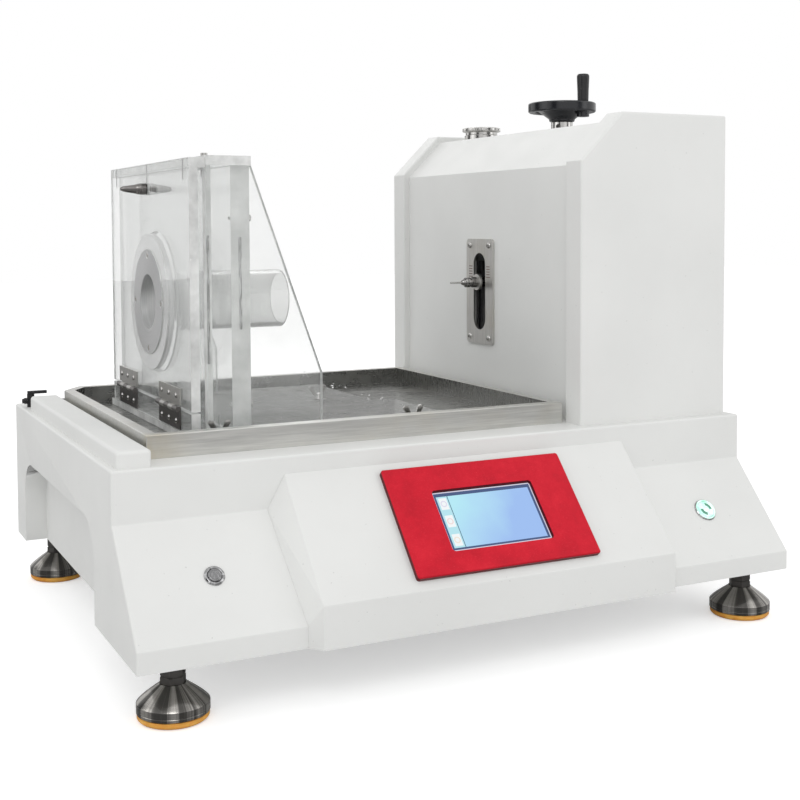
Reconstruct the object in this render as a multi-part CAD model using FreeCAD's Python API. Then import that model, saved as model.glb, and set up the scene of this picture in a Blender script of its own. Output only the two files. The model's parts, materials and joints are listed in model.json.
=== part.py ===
import FreeCAD
import Part
import math
import os

# Synthetic blood penetration tester: a bench cabinet with a drip tray, a clear specimen
# fixture on the left and a dosing tower on the right that holds the height-adjusted nozzle.
# Millimetres. +Z is up and +Y points to the back. The origin is on the floor, under the
# middle of the outline. Every piece is written to parts/ as a STEP file of its own.

Vec = FreeCAD.Vector
X_AXIS = Vec(1, 0, 0)
Y_AXIS = Vec(0, 1, 0)
Z_AXIS = Vec(0, 0, 1)

# Clearances
running_gap = 0.06            # radial, shafts and pins that turn or slide
loose_gap = 0.3               # between pieces that pass each other
seat_gap = 0.2                # under pieces that slide or turn on a flat face
thread_clear = 0.4            # radial, screws through plain holes

# Cabinet
overall_width = 760.0
overall_depth = 612.0
foot_height = 55.0            # floor to the underside of the cabinet
cabinet_height = 168.0
sheet = 2.0
bend_radius = 2.5
wing_reach = 85.0             # front face to the nose of a sloping wing
wing_drop = 52.0              # cabinet top to the top of the slope
wing_lip = 21.0               # upright lip under the slope
console_reach = 99.0
console_half_width = 206.0
console_drop = 18.0           # cabinet top to the top of the console slope
console_lip = 42.5
console_flare_top = 19.0
console_flare_nose = 11.0
front_leg = 162.0             # wing nose to the arch in the side
rear_leg = 58.0
arch_depth = 26.0
arch_height = 104.0
arch_radius = 45.0

# Rear connector recess
recess_width = 120.0
recess_height = 62.0
recess_depth = 24.0
recess_from_side = 220.0      # cabinet's left side to the recess
recess_floor = 34.0           # cabinet underside to the recess

# Rail and drip tray
centre_offset = 3.5           # shared centre line, ahead of the middle of the cabinet top
tower_margin = 10.0           # cabinet edge to the tower
tray_tower_gap = 5.5
tray_margin = 47.5            # free cabinet top before and behind the tray
tray_height = 24.0
tray_sheet = 1.5
tray_rim = 12.0
tray_floor_rise = 3.0         # cabinet top to the top of the tray floor
tray_corner = (24.0, 32.0)    # cut corner at the back left, along X and Y
rail_gap = 5.0
rail_margin = 7.0             # cabinet side to the rail
rail_width = 34.0
rail_height = 17.0
rail_setback = 6.0
rail_rear_gap = 66.0          # rail to the back of the cabinet
rail_round = 4.0
drain_gap = 34.0              # tray edge to the drain valve, along X
drain_setback = 10.0          # tray back edge to the drain valve, along Y
post_radius = 4.6
post_height = 16.5
drain_pipe_radius = 3.0
drain_pipe_bore = 1.8
drain_rise = 8.0              # cabinet top to the drain pipe
valve_stem_radius = 1.6
valve_stem_length = 5.0
lever_length = 24.0
lever_thick = 3.6

# Tower
tower_width = 209.5
tower_end_margin = 17.5       # free cabinet top before and behind the tower
tower_height = 359.0
tower_chamfer = 57.0
end_panel = 32.0
skin_recess = 9.0

# Nozzle, its slot and its screw drive
target_height = 143.0         # cabinet top to the middle of the target
nozzle_lift = 12.0            # nozzle above the target, for the drop of the jet
slot_width = 30.0
slot_length = 100.0
plate_width = 67.0
plate_height = 137.0
plate_thick = 3.0
plate_corner = 6.0
plate_screw_y = 24.0
plate_screw_z = 60.0
plate_screw_radius = 2.0
stem_radius = 6.0
flange_radius = 10.4
flange_thick = 4.0
hub_radius = 7.8
hub_length = 22.0
needle_radius = 1.2
needle_length = 16.0
needle_bore = 0.5
needle_grip = 8.0             # needle inside its hub
screw_from_left = 134.5       # tower left side to the drive screw
screw_radius = 6.0
rod_from_screw = 33.0
rod_spacing = 44.0
rod_radius = 5.0
carriage_height = 24.0
carriage_width = 64.0
travel_down = 50.0
travel_up = 28.0
frame_plate = 10.0
frame_wall = 6.0
frame_reach = 26.0            # guide rods to the free edge of the frame
frame_wall_reach = 35.0       # screw to the frame wall
frame_side = 8.0              # frame past the carriage
frame_foot = 20.0
frame_drop = 54.0             # slot end to the lower frame plate
frame_rise = 50.0             # raised carriage to the upper frame plate
screw_stop = 4.0

# Handwheel
wheel_radius = 45.0
rim_width = 9.0
rim_height = 13.0
wheel_hub_radius = 17.0
wheel_height = 25.0
spoke_count = 3
crank_offset = 33.0
crank_angle = -67.0
grip_radius = 7.2
grip_top_radius = 8.2
grip_height = 36.0
grip_pin_radius = 3.0
collar_radius = 17.5
collar_height = 17.0

# Filler and reservoir
filler_from_left = 99.5       # tower left side to the filler
filler_from_rear = 85.0       # tower back to the filler
filler_radius = 24.0
filler_bore = 17.0
filler_rise = 8.0
cap_radius = 27.5
cap_height = 11.0
cap_lobes = 10
groove_radius = 5.2
vessel_radius = 40.0
vessel_height = 150.0
vessel_wall = 3.0
leg_radius = 4.0
pipe_radius = 4.0
pipe_bore = 2.6
pipe_bend = 16.0
valve_spacing = 58.0          # filler to the valve
valve_pipe_rise = 20.0
valve_size = (34.0, 44.0, 40.0)
coil_radius = 14.0
coil_height = 34.0

# Specimen fixture
fixture_inset = 60.0          # tray left edge to the fixture
fixture_margin = 45.0         # tray edge to the fixture, before and behind
base_thick = 8.0
base_length = 312.0
base_notch = 30.0             # the back right part of the base plate is this much shorter
base_front_lip = 30.0         # base plate ahead of the side plates
base_rear_lip = 12.0
panel = 10.0
sill_height = 23.0
door_gap = 2.0
door_top_gap = 2.8            # door plate top to the underside of the top plate
rail_depth = 17.5             # top rail of the door, along X
rail_thick = 10.5
inner_plate = 8.0
inner_offset = 18.0           # door face to the inner plate
back_offset = 47.0            # door face to the back plate
back_thick = 21.0
fixture_height = 300.0        # tray floor to the top of the top plate
side_reach = 148.0            # door face to the foot of the side plates
side_upright = 67.0           # height of their upright edge above the tray floor
tube_radius = 34.2
tube_wall = 4.2
tube_length = 92.0
ring_radius = 78.0
ring_face_radius = 60.0
ring_step_radius = 71.0
aperture_radius = 31.5
ring_bolt_radius = 53.5
ring_clear = 3.0
hinge_margin = 36.0           # door edge to the hinge
hinge_length = 80.0
hinge_leaf = 22.0
leaf_thick = 1.8
knuckle_radius = 3.1
knuckle_count = 5
pin_radius = 1.5
latch_drop = 18.0             # door plate top to the latch
latch_pin_radius = 3.0
latch_grip = 4.0              # latch pin inside the inner plate
latch_clear = 0.6
latch_knob_length = 30.0
latch_knob_radius = 6.5
slide_travel = 10.0           # the fixture slides this far each way

# Wing bolts
bolt_left_inset = 25.0        # fixture left face to the front left bolt
bolt_front_gap = 15.0         # side plates to the front bolts
bolt_right_inset = 61.5       # base plate right edge to the front right bolt
bolt_rear_inset = 88.0        # base plate right edge to the rear bolt
bolt_rear_offset = 34.0       # centre line to the rear bolt
bolt_radius = 2.5
wing_span = 12.5
wing_rise = 18.0
wing_thick = 2.8

# Levelling feet
foot_side_inset = 42.0
foot_front_inset = 33.0       # nose of the wings to the front feet
foot_rear_inset = 40.0
pad_radius = 33.4
pad_thick = 6.0
cup_radius = 34.0
cup_rim = 11.0
cup_height = 34.0
neck_radius = 12.3            # across the corners of the hexagon
stud_radius = 6.0
stud_rise = 36.0              # stud above the cabinet underside
boss_height = 22.0            # threaded boss on the bottom plate
socket_floor = 14.0           # pad to the ball seat in the cup
neck_chamfer = 1.6

# Controls
button_inset = 86.0           # cabinet side to the buttons
start_radius = 10.3
power_radius = 13.5
button_ring = 3.4             # width of the ring round each button cap
button_travel = 2.0
ring_rise = 2.2               # button ring above the slope
barrel_depth = 20.0
barrel_floor = 2.0
cap_depth = 12.0
bezel_width = 216.0
bezel_height = 125.0
bezel_thick = 6.0
bezel_corner = 5.0
bezel_x = 3.0
window_width = 126.0
window_height = 72.0
display_width = 119.0
display_height = 66.0
window_drop = 4.0             # from the middle of the bezel down to the middle of the window
bezel_from_top = 73.0         # top of the console slope to the middle of the bezel

# Inside the cabinet
supply_length = 130.0
supply_width = 110.0
supply_height = 38.0
supply_inset = 20.0           # recess edge to the power supply
supply_from_rear = 116.0
terminal_width = 90.0
terminal_depth = 12.0
terminal_height = 14.0
vent_length = 60.0
vent_width = 5.0
vent_pitch = 14.0
vent_spread = 90.0

# Places worked out from the sizes above
side_x = overall_width / 2
rear_y = overall_depth / 2
console_nose_y = -overall_depth / 2
front_y = console_nose_y + console_reach
wing_nose_y = front_y - wing_reach
under_z = foot_height
top_z = under_z + cabinet_height
slope_top_z = top_z - wing_drop
wing_nose_z = under_z + wing_lip
console_top_z = top_z - console_drop
console_nose_z = under_z + console_lip
arch_front_y = wing_nose_y + front_leg
arch_rear_y = rear_y - rear_leg
arch_top_z = under_z + arch_height
top_depth = rear_y - front_y
jet_line_y = (front_y + rear_y) / 2 - centre_offset
recess_right = -side_x + recess_from_side + recess_width

tower_right = side_x - tower_margin
tower_left = tower_right - tower_width
tower_depth = top_depth - 2 * tower_end_margin
tower_front = jet_line_y - tower_depth / 2
tower_rear = jet_line_y + tower_depth / 2
tower_top = top_z + tower_height
skin_left = tower_left + skin_recess
skin_top = tower_top - skin_recess
skin_front = tower_front + end_panel
skin_rear = tower_rear - end_panel

tray_right = tower_left - tray_tower_gap
tray_left = -side_x + rail_margin + rail_width + rail_gap
tray_depth = top_depth - 2 * tray_margin
tray_front = jet_line_y - tray_depth / 2
tray_rear = jet_line_y + tray_depth / 2
tray_floor_z = top_z + tray_floor_rise
tray_top_z = top_z + tray_height
valve_post_x = tray_left - drain_gap
valve_post_y = tray_rear + drain_setback
drain_z = top_z + drain_rise

target_z = top_z + target_height
nozzle_z = target_z + nozzle_lift

screw_x = tower_left + screw_from_left
rod_x = screw_x - rod_from_screw
filler_x = tower_left + filler_from_left
filler_y = tower_rear - filler_from_rear
valve_y = filler_y - valve_spacing

fixture_left = tray_left + fixture_inset
fixture_depth = tray_depth - 2 * fixture_margin
fixture_front = jet_line_y - fixture_depth / 2
fixture_rear = jet_line_y + fixture_depth / 2
base_z = tray_floor_z + seat_gap
base_top_z = base_z + base_thick
sill_top_z = base_top_z + sill_height
door_z = sill_top_z + door_gap
fixture_top_z = tray_floor_z + fixture_height
plate_top_z = fixture_top_z - panel
door_top_z = plate_top_z - door_top_gap
inner_left = fixture_left + inner_offset
back_left = fixture_left + back_offset
back_right = back_left + back_thick
side_right = fixture_left + side_reach
hinge_x = fixture_left - knuckle_radius - 0.1
hinge_z = (sill_top_z + door_z) / 2
hinge_offset = fixture_depth / 2 - hinge_margin - hinge_length / 2
latch_z = door_top_z - latch_drop

front_bolt_y = fixture_front - bolt_front_gap
base_right = fixture_left + base_length
wing_bolts = {
    "front_left": (fixture_left + bolt_left_inset, front_bolt_y),
    "front_right": (base_right - bolt_right_inset, front_bolt_y),
    "rear": (base_right - bolt_rear_inset, jet_line_y + bolt_rear_offset),
}
foot_x = side_x - foot_side_inset
foot_front_y = wing_nose_y + foot_front_inset
foot_rear_y = rear_y - foot_rear_inset
button_x = side_x - button_inset

wing_tilt = math.degrees(math.atan2(slope_top_z - wing_nose_z, wing_reach))
wing_length = math.hypot(slope_top_z - wing_nose_z, wing_reach)
console_tilt = math.degrees(math.atan2(console_top_z - console_nose_z, console_reach))


def box(x0, x1, y0, y1, z0, z1):
    return Part.makeBox(x1 - x0, y1 - y0, z1 - z0, Vec(x0, y0, z0))


def rod(radius, length, base, axis=Z_AXIS):
    return Part.makeCylinder(radius, length, Vec(*base), axis)


def tube(outer, inner, length, base, axis=Z_AXIS):
    return rod(outer, length, base, axis).cut(rod(inner, length, base, axis))


def prism(points, direction):
    """Closed polygon swept along one direction."""
    wire = Part.makePolygon([Vec(*p) for p in points] + [Vec(*points[0])])
    return Part.Face(wire).extrude(direction)


def turned(profile, base, axis_turn=None):
    """Solid of revolution from (radius, height) points round a Z axis through base."""
    wire = Part.makePolygon([Vec(r, 0, h) for r, h in profile] + [Vec(profile[0][0], 0, profile[0][1])])
    solid = Part.Face(wire).revolve(Vec(0, 0, 0), Z_AXIS, 360)
    if axis_turn is not None:
        solid = solid.rotate(Vec(0, 0, 0), axis_turn[0], axis_turn[1])
    return solid.translate(Vec(*base))


def round_edges(solid, radius, wanted):
    edges = [edge for edge in solid.Edges if wanted(edge)]
    return solid.makeFillet(radius, edges)


def edge_middle(edge):
    return edge.BoundBox.Center


def runs_along(edge, axis):
    ends = edge.Vertexes
    if len(ends) != 2:
        return False
    direction = ends[1].Point.sub(ends[0].Point)
    return direction.Length > 0 and abs(direction.normalize().dot(axis)) > 0.999


def on_slope(solid, x, along, tilt, top_y, top_z_here):
    """Place a solid drawn on z = 0, with local Y up the slope, on a slope that starts at its top."""
    turn = FreeCAD.Rotation(X_AXIS, tilt)
    down = turn.multVec(Vec(0, -along, 0))
    placed = solid.copy()
    placed.Placement = FreeCAD.Placement(Vec(x, top_y, top_z_here).add(down), turn)
    return placed


def on_wing(solid, x):
    return on_slope(solid, x, wing_length / 2, wing_tilt, front_y, slope_top_z)


def on_console(solid, x, along):
    return on_slope(solid, x, along, console_tilt, front_y, console_top_z)


def rounded_slab(width, height, z0, z1, corner, x=0.0, y=0.0):
    slab = box(x - width / 2, x + width / 2, y - height / 2, y + height / 2, z0, z1)
    return round_edges(slab, corner, lambda edge: runs_along(edge, Z_AXIS))


def cap_screw(radius, length, head, base, axis):
    """Screw with its head outside base and its shank along axis."""
    direction = Vec(*axis)
    shank = rod(radius, length, base, direction)
    cap = rod(radius * 1.8, head, base, direction.multiply(-1))
    return shank.fuse(cap).removeSplitter()


# Cabinet

def wing_outline(bottom_z):
    return [
        (0, front_y, top_z), (0, front_y, slope_top_z), (0, wing_nose_y, wing_nose_z),
        (0, wing_nose_y, bottom_z), (0, rear_y, bottom_z), (0, rear_y, top_z),
    ]


def arch(side, grow=0.0):
    """Round-cornered hollow in one side of the cabinet, open below."""
    outer = side * (side_x + 1)
    inner = side * (side_x - arch_depth - grow)
    low = under_z - 20
    hollow = box(min(outer, inner), max(outer, inner), arch_front_y - grow, arch_rear_y + grow,
                 low, arch_top_z + grow)
    return round_edges(hollow, arch_radius + grow, lambda edge: runs_along(edge, X_AXIS)
                       and edge_middle(edge).z > low + 1)


def rear_recess(grow=0.0):
    left = recess_right - recess_width
    low = under_z + recess_floor
    return box(left - grow, recess_right + grow, rear_y - recess_depth - grow, rear_y + 1,
               low - grow, low + recess_height + grow)


def cabinet_cavity():
    """Space inside the cabinet sheet, open below."""
    wire = Part.makePolygon([Vec(*p) for p in wing_outline(under_z - 20)] + [Vec(0, front_y, top_z)])
    inside = wire.makeOffset2D(-sheet)
    block = Part.Face(inside).extrude(Vec(2 * (side_x - sheet), 0, 0))
    block.translate(Vec(-(side_x - sheet), 0, 0))
    for side in (-1, 1):
        block = block.cut(arch(side, sheet))
    return block.cut(rear_recess(sheet))


def base_cabinet():
    shell = prism(wing_outline(under_z), Vec(overall_width, 0, 0))
    shell.translate(Vec(-side_x, 0, 0))
    shell = round_edges(shell, bend_radius, lambda edge: edge_middle(edge).z > under_z + 1)
    for side in (-1, 1):
        shell = shell.cut(arch(side))
    shell = shell.cut(rear_recess()).cut(cabinet_cavity())
    for side, radius in ((-1, start_radius), (1, power_radius)):
        hole = rod(radius - button_ring / 2 + thread_clear, 3 * sheet, (0, 0, -2 * sheet))
        shell = shell.cut(on_wing(hole, side * button_x))
    window = rounded_slab(display_width + 20, display_height + 8, -60, 10, 4)
    shell = shell.cut(on_console(window, bezel_x, bezel_from_top + window_drop)
                      .common(box(-side_x, side_x, wing_nose_y - 1, front_y + 20, under_z, top_z - 10)))
    for x, y in wing_bolts.values():
        shell = shell.cut(rod(bolt_radius + running_gap, 3 * sheet, (x, y, top_z - 2 * sheet)))
    shell = shell.cut(inlet_cut()).cut(air_cut())
    return shell


def bottom_plate():
    plate = cabinet_cavity().common(box(-side_x, side_x, console_nose_y, rear_y, under_z, under_z + sheet))
    for x, y in foot_places():
        boss = rod(neck_radius, boss_height, (x, y, under_z))
        hole = rod(stud_radius + running_gap, 2 * boss_height, (x, y, under_z - sheet))
        plate = plate.fuse(boss).cut(hole)
    slot = rounded_slab(vent_length, vent_width, under_z - sheet, under_z + 2 * sheet, vent_width * 0.48)
    for row in range(5):
        for column in (-1, 1):
            vent = slot.copy()
            vent.translate(Vec(column * vent_spread, jet_line_y + (row - 0.4) * vent_pitch, 0))
            plate = plate.cut(vent)
    return plate


def foot_places():
    return [(side * foot_x, y) for y in (foot_front_y, foot_rear_y) for side in (-1, 1)]


def console_block(inset):
    """Wedge with flared flanks that stands on the sloping front of the cabinet."""
    fall = (console_top_z - console_nose_z) / console_reach
    drop = inset * math.hypot(1, fall)
    nose_y = console_nose_y + inset
    nose_z = console_top_z - fall * (console_reach - inset) - drop
    low = under_z + inset
    half = console_half_width - inset
    corners = {}
    for side in (-1, 1):
        corners[side] = {
            "top": Vec(side * half, front_y, console_top_z - drop),
            "nose": Vec(side * half, nose_y, nose_z),
            "foot": Vec(side * half, nose_y, low),
            "root_top": Vec(side * (half + console_flare_top), front_y, slope_top_z),
            "root_nose": Vec(side * (half + console_flare_nose), wing_nose_y, wing_nose_z),
            "root_foot": Vec(side * (half + console_flare_nose), wing_nose_y, low),
        }
    left = corners[-1]
    right = corners[1]
    loops = []
    for flank in (left, right):
        loops.append([flank["top"], flank["nose"], flank["root_top"]])
        loops.append([flank["nose"], flank["root_nose"], flank["root_top"]])
        loops.append([flank["nose"], flank["foot"], flank["root_foot"], flank["root_nose"]])
    for start, end in (("top", "nose"), ("nose", "foot"), ("foot", "root_foot"),
                       ("root_foot", "root_nose"), ("root_nose", "root_top"), ("root_top", "top")):
        loops.append([left[start], right[start], right[end], left[end]])
    faces = [Part.Face(Part.makePolygon(loop + [loop[0]])) for loop in loops]
    solid = Part.Solid(Part.Shell(faces))
    if solid.Volume < 0:
        solid.reverse()
    return solid


def console_housing():
    housing = console_block(0).cut(console_block(sheet))
    behind = prism(wing_outline(under_z - 20), Vec(overall_width, 0, 0))
    behind.translate(Vec(-side_x, 0, 0))
    window = rounded_slab(window_width + 8, window_height + 8, -3 * sheet, sheet, 3)
    return housing.cut(behind).cut(on_console(window, bezel_x, bezel_from_top + window_drop))


def screen_bezel():
    frame = rounded_slab(bezel_width, bezel_height, 0, bezel_thick, bezel_corner)
    frame = round_edges(frame, 1.5, lambda edge: edge_middle(edge).z > bezel_thick - 0.01)
    outer = Part.makePolygon([Vec(x * (window_width / 2), y * (window_height / 2) - window_drop, bezel_thick)
                              for x, y in ((-1, -1), (1, -1), (1, 1), (-1, 1), (-1, -1))])
    inner = Part.makePolygon([Vec(x * (display_width / 2), y * (display_height / 2) - window_drop, 2.4)
                              for x, y in ((-1, -1), (1, -1), (1, 1), (-1, 1), (-1, -1))])
    funnel = Part.makeLoft([outer, inner], True, True)
    seat = rounded_slab(window_width, window_height, -1, 2.4, 1, 0, -window_drop)
    return on_console(frame.cut(funnel).cut(seat), bezel_x, bezel_from_top)


def touch_screen():
    glass = rounded_slab(window_width - 0.4, window_height - 0.4, 0.2, 2.4, 1)
    body = rounded_slab(display_width, display_height, -10, 0.2, 1)
    return on_console(glass.fuse(body).removeSplitter(), bezel_x, bezel_from_top + window_drop)


def control_board():
    board = rounded_slab(display_width - 8, display_height - 8, -18.6, -17, 1)
    for x in (-1, 1):
        for y in (-1, 1):
            post = rod(2.5, 7, (x * (display_width / 2 - 12), y * (display_height / 2 - 12), -17))
            board = board.fuse(post)
    for x, width in ((-30, 22), (6, 30), (38, 12)):
        board = board.fuse(box(x - width / 2, x + width / 2, -14, 10, -21, -18.6))
    return on_console(board, bezel_x, bezel_from_top + window_drop)


def power_supply():
    low = under_z + sheet
    right = recess_right - supply_inset
    rear = rear_y - supply_from_rear
    case = box(right - supply_width, right, rear - supply_length, rear, low, low + supply_height)
    case = round_edges(case, sheet, lambda edge: edge_middle(edge).z > low + 1)
    middle = right - supply_width / 2
    terminals = box(middle - terminal_width / 2, middle + terminal_width / 2, rear, rear + terminal_depth,
                    low, low + terminal_height)
    return case.fuse(terminals)


# Button rings and caps, drawn on z = 0 of the wing slope

def button_bore(radius):
    return radius - button_ring


def button_rings():
    rings = []
    for side, radius in ((-1, start_radius), (1, power_radius)):
        lip = turned([(button_bore(radius), 0), (radius, 0), (radius, ring_rise * 0.55),
                      (radius - ring_rise * 0.55, ring_rise), (button_bore(radius), ring_rise)], (0, 0, 0))
        barrel = tube(radius - button_ring / 2, button_bore(radius), barrel_depth, (0, 0, -barrel_depth))
        floor = rod(radius - button_ring / 2, barrel_floor, (0, 0, -barrel_depth))
        rings.append(on_wing(lip.fuse([barrel, floor]).removeSplitter(), side * button_x))
    return Part.makeCompound(rings)


def button_cap(side, radius):
    reach = button_bore(radius) - running_gap
    cap = turned([(0, -cap_depth), (reach, -cap_depth), (reach, ring_rise), (reach - 0.6, ring_rise + 0.6),
                  (0, ring_rise + 1)], (0, 0, 0))
    return on_wing(cap, side * button_x)


# Rear fittings in the recess

inlet_x = recess_right - recess_width + 34.0
air_x = recess_right - 30.0
fitting_z = under_z + recess_floor + recess_height / 2
recess_wall_y = rear_y - recess_depth
air_radius = 7.0
air_bore = 3.0
air_reach = 16.0


def inlet_cut():
    return box(inlet_x - 14, inlet_x + 14, recess_wall_y - 3 * sheet, recess_wall_y + 1,
               fitting_z - 10.5, fitting_z + 10.5)


def air_cut():
    start = (air_x, recess_wall_y + 1, fitting_z)
    return rod(air_radius - 1 + thread_clear, 4 * sheet, start, Vec(0, -1, 0))


def mains_inlet():
    flange = box(inlet_x - 25, inlet_x + 25, recess_wall_y, recess_wall_y + 3,
                 fitting_z - 14, fitting_z + 14)
    flange = round_edges(flange, 4, lambda edge: runs_along(edge, Y_AXIS))
    body = box(inlet_x - 13.6, inlet_x + 13.6, recess_wall_y - 22, recess_wall_y,
               fitting_z - 10, fitting_z + 10)
    well = box(inlet_x - 11.8, inlet_x + 11.8, recess_wall_y - 14, recess_wall_y + 4,
               fitting_z - 7.8, fitting_z + 7.8)
    shape = flange.fuse(body).cut(well)
    for x in (-7, 0, 7):
        blade = box(inlet_x + x - 1, inlet_x + x + 1, recess_wall_y - 14, recess_wall_y - 1,
                    fitting_z - 2, fitting_z + 2)
        shape = shape.fuse(blade)
    return shape.removeSplitter()


def air_inlet():
    start = (air_x, recess_wall_y, fitting_z)
    flange = rod(air_radius + 4, 4, start, Y_AXIS)
    nose = rod(air_radius, air_reach, start, Y_AXIS)
    tail = rod(air_radius - 1, 18, start, Vec(0, -1, 0))
    bore = rod(air_bore, air_reach, (air_x, recess_wall_y + 0.0, fitting_z), Y_AXIS)
    return flange.fuse([nose, tail]).cut(bore).removeSplitter()


# Rail, drip tray and drain

def tray_rail():
    right = tray_left - rail_gap
    front = front_y + rail_setback
    block = box(right - rail_width, right, front, rear_y - rail_rear_gap, top_z, top_z + rail_height)
    return round_edges(block, rail_round, lambda edge: edge_middle(edge).z > top_z + 1)


def tray_outline(inset):
    cut_x, cut_y = tray_corner
    slack = inset * 0.45
    return [
        (tray_left + inset, tray_front + inset), (tray_right - inset, tray_front + inset),
        (tray_right - inset, tray_rear - inset), (tray_left + cut_x + slack, tray_rear - inset),
        (tray_left + inset, tray_rear - cut_y - slack),
    ]


def tray_block(inset, z0, z1):
    return prism([(x, y, z0) for x, y in tray_outline(inset)], Vec(0, 0, z1 - z0))


def drip_tray():
    rim = tray_block(0, top_z, tray_top_z)
    rim = round_edges(rim, 1.2, lambda edge: edge_middle(edge).z > tray_top_z - 0.01)
    channel = tray_block(tray_sheet, top_z - 1, tray_top_z - tray_sheet)
    basin = tray_block(tray_rim, top_z - 1, tray_top_z + 1)
    wall = tray_block(tray_rim - tray_sheet, top_z, tray_top_z - tray_sheet).cut(basin)
    floor_low = tray_floor_z - tray_sheet
    floor = tray_block(tray_rim - tray_sheet, floor_low, tray_floor_z)
    tray = rim.cut(channel).cut(basin).fuse([wall, floor])
    for x, y in wing_bolts.values():
        tray = tray.cut(rod(bolt_radius + running_gap, 4 * tray_sheet, (x, y, floor_low - tray_sheet)))
    return tray.cut(drain_pipe(drain_pipe_radius + running_gap)).removeSplitter()


def drain_pipe(radius, start=0.0, end=1.0):
    """Straight run from the valve post through the cut corner of the tray, square to it."""
    corner_x = tray_left + tray_corner[0] / 2
    corner_y = tray_rear - tray_corner[1] / 2
    run = Vec(corner_x - valve_post_x, corner_y - valve_post_y, 0)
    length = run.Length + tray_rim + 1
    run.normalize()
    base = Vec(valve_post_x, valve_post_y, drain_z).add(Vec(run).multiply(length * start))
    return Part.makeCylinder(radius, length * (end - start), base, run)


def drain_valve_body():
    post = rod(post_radius, post_height, (valve_post_x, valve_post_y, top_z))
    spigot = rod(drain_pipe_radius, 10.5, (valve_post_x - 10.5, valve_post_y, drain_z), X_AXIS)
    nut = rod(drain_pipe_radius + 1, 3, (valve_post_x - 8, valve_post_y, drain_z), X_AXIS)
    body = post.fuse([spigot, nut, drain_pipe(drain_pipe_radius)])
    body = body.cut(drain_pipe(drain_pipe_bore))
    body = body.cut(rod(drain_pipe_bore, 11, (valve_post_x - 11, valve_post_y, drain_z), X_AXIS))
    seat = (valve_post_x, valve_post_y, top_z + post_height - valve_stem_length)
    hole = rod(valve_stem_radius + running_gap, valve_stem_length, seat)
    return body.cut(hole).removeSplitter()


def drain_valve_lever():
    low = top_z + post_height + seat_gap
    reach = valve_stem_length - 1
    stem = rod(valve_stem_radius, reach, (valve_post_x, valve_post_y, low - reach))
    left = valve_post_x - 4
    bar = box(left, left + lever_length, valve_post_y - 3, valve_post_y + 3, low, low + lever_thick)
    bar = round_edges(bar, 1.2, lambda edge: runs_along(edge, Z_AXIS))
    return bar.fuse(stem)


# Tower

def tower_outline(inset, bottom_z):
    """Front view of the tower with its upper left corner cut off, moved in by inset."""
    slack = inset * (math.sqrt(2) - 1)
    left = tower_left + inset
    right = tower_right - inset
    top = tower_top - inset
    shoulder = tower_left + tower_chamfer + slack
    return [
        (left, bottom_z), (right, bottom_z), (right, top), (shoulder, top),
        (left, tower_top - tower_chamfer - slack),
    ]


def tower_block(inset, y0, y1, bottom_z):
    return prism([(x, y0, z) for x, z in tower_outline(inset, bottom_z)], Vec(0, y1 - y0, 0))


def end_cover(outer_y, inner_y):
    """Deep sheet pan that closes one end of the tower, with a flange turned in to the skin."""
    low, high = sorted((outer_y, inner_y))
    pan = tower_block(0, low, high, top_z)
    pan = round_edges(pan, bend_radius, lambda edge: edge_middle(edge).z > top_z + 1)
    hollow = tower_block(sheet, low + sheet, high - sheet, top_z - 1)
    open_side = sorted((inner_y, inner_y + math.copysign(2 * sheet, inner_y - outer_y) * -1))
    opening = tower_block(skin_recess + sheet, open_side[0] - 1, open_side[1] + 1, top_z - 1)
    return pan.cut(hollow).cut(opening)


def tower_skin():
    """Bent sheet that makes the left side, the slanting corner and the top."""
    skin = tower_block(skin_recess, skin_front, skin_rear, top_z)
    skin = skin.cut(tower_block(skin_recess + sheet, skin_front, skin_rear, top_z - 1))
    right = tower_right - skin_recess
    skin = skin.cut(box(right - sheet, right, skin_front, skin_rear, top_z, skin_top - sheet))
    half_width = slot_width / 2 + sheet
    half_length = slot_length / 2 + sheet
    slot = box(skin_left - 1, skin_left + sheet + 1, jet_line_y - half_width, jet_line_y + half_width,
               target_z - half_length, target_z + half_length)
    skin = skin.cut(slot)
    low = skin_top - 2 * sheet
    skin = skin.cut(rod(screw_radius + 2, 3 * sheet, (screw_x, jet_line_y, low)))
    skin = skin.cut(rod(filler_bore + 2 + thread_clear, 3 * sheet, (filler_x, filler_y, low)))
    for y, z in plate_screw_places():
        skin = skin.cut(rod(plate_screw_radius, 3 * sheet, (skin_left - 1, y, z), X_AXIS))
    return skin


def tower_side_cover():
    right = tower_right - skin_recess
    cover = box(right - sheet, right, skin_front, skin_rear, top_z, skin_top - sheet)
    slot = box(right - 2 * sheet, right + 1, -30, 30, -2.5, 2.5)
    slot = round_edges(slot, 2.4, lambda edge: runs_along(edge, X_AXIS))
    for row in range(6):
        for column in (-1, 0, 1):
            vent = slot.copy()
            vent.translate(Vec(0, jet_line_y + column * 80, top_z + 60 + row * 13))
            cover = cover.cut(vent)
    return cover


def plate_screw_places():
    return [(jet_line_y + y * plate_screw_y, target_z + z * plate_screw_z) for y in (-1, 1) for z in (-1, 1)]


def nozzle_plate():
    face = skin_left - plate_thick
    plate = box(face, skin_left, jet_line_y - plate_width / 2, jet_line_y + plate_width / 2,
                target_z - plate_height / 2, target_z + plate_height / 2)
    plate = round_edges(plate, plate_corner, lambda edge: runs_along(edge, X_AXIS))
    slot = box(face - 1, skin_left + 1, jet_line_y - slot_width / 2, jet_line_y + slot_width / 2,
               target_z - slot_length / 2, target_z + slot_length / 2)
    slot = round_edges(slot, slot_width / 2 - 0.01, lambda edge: runs_along(edge, X_AXIS))
    plate = plate.cut(slot)
    for y, z in plate_screw_places():
        plate = plate.cut(rod(plate_screw_radius + thread_clear / 2, plate_thick, (face, y, z), X_AXIS))
    return plate


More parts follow.
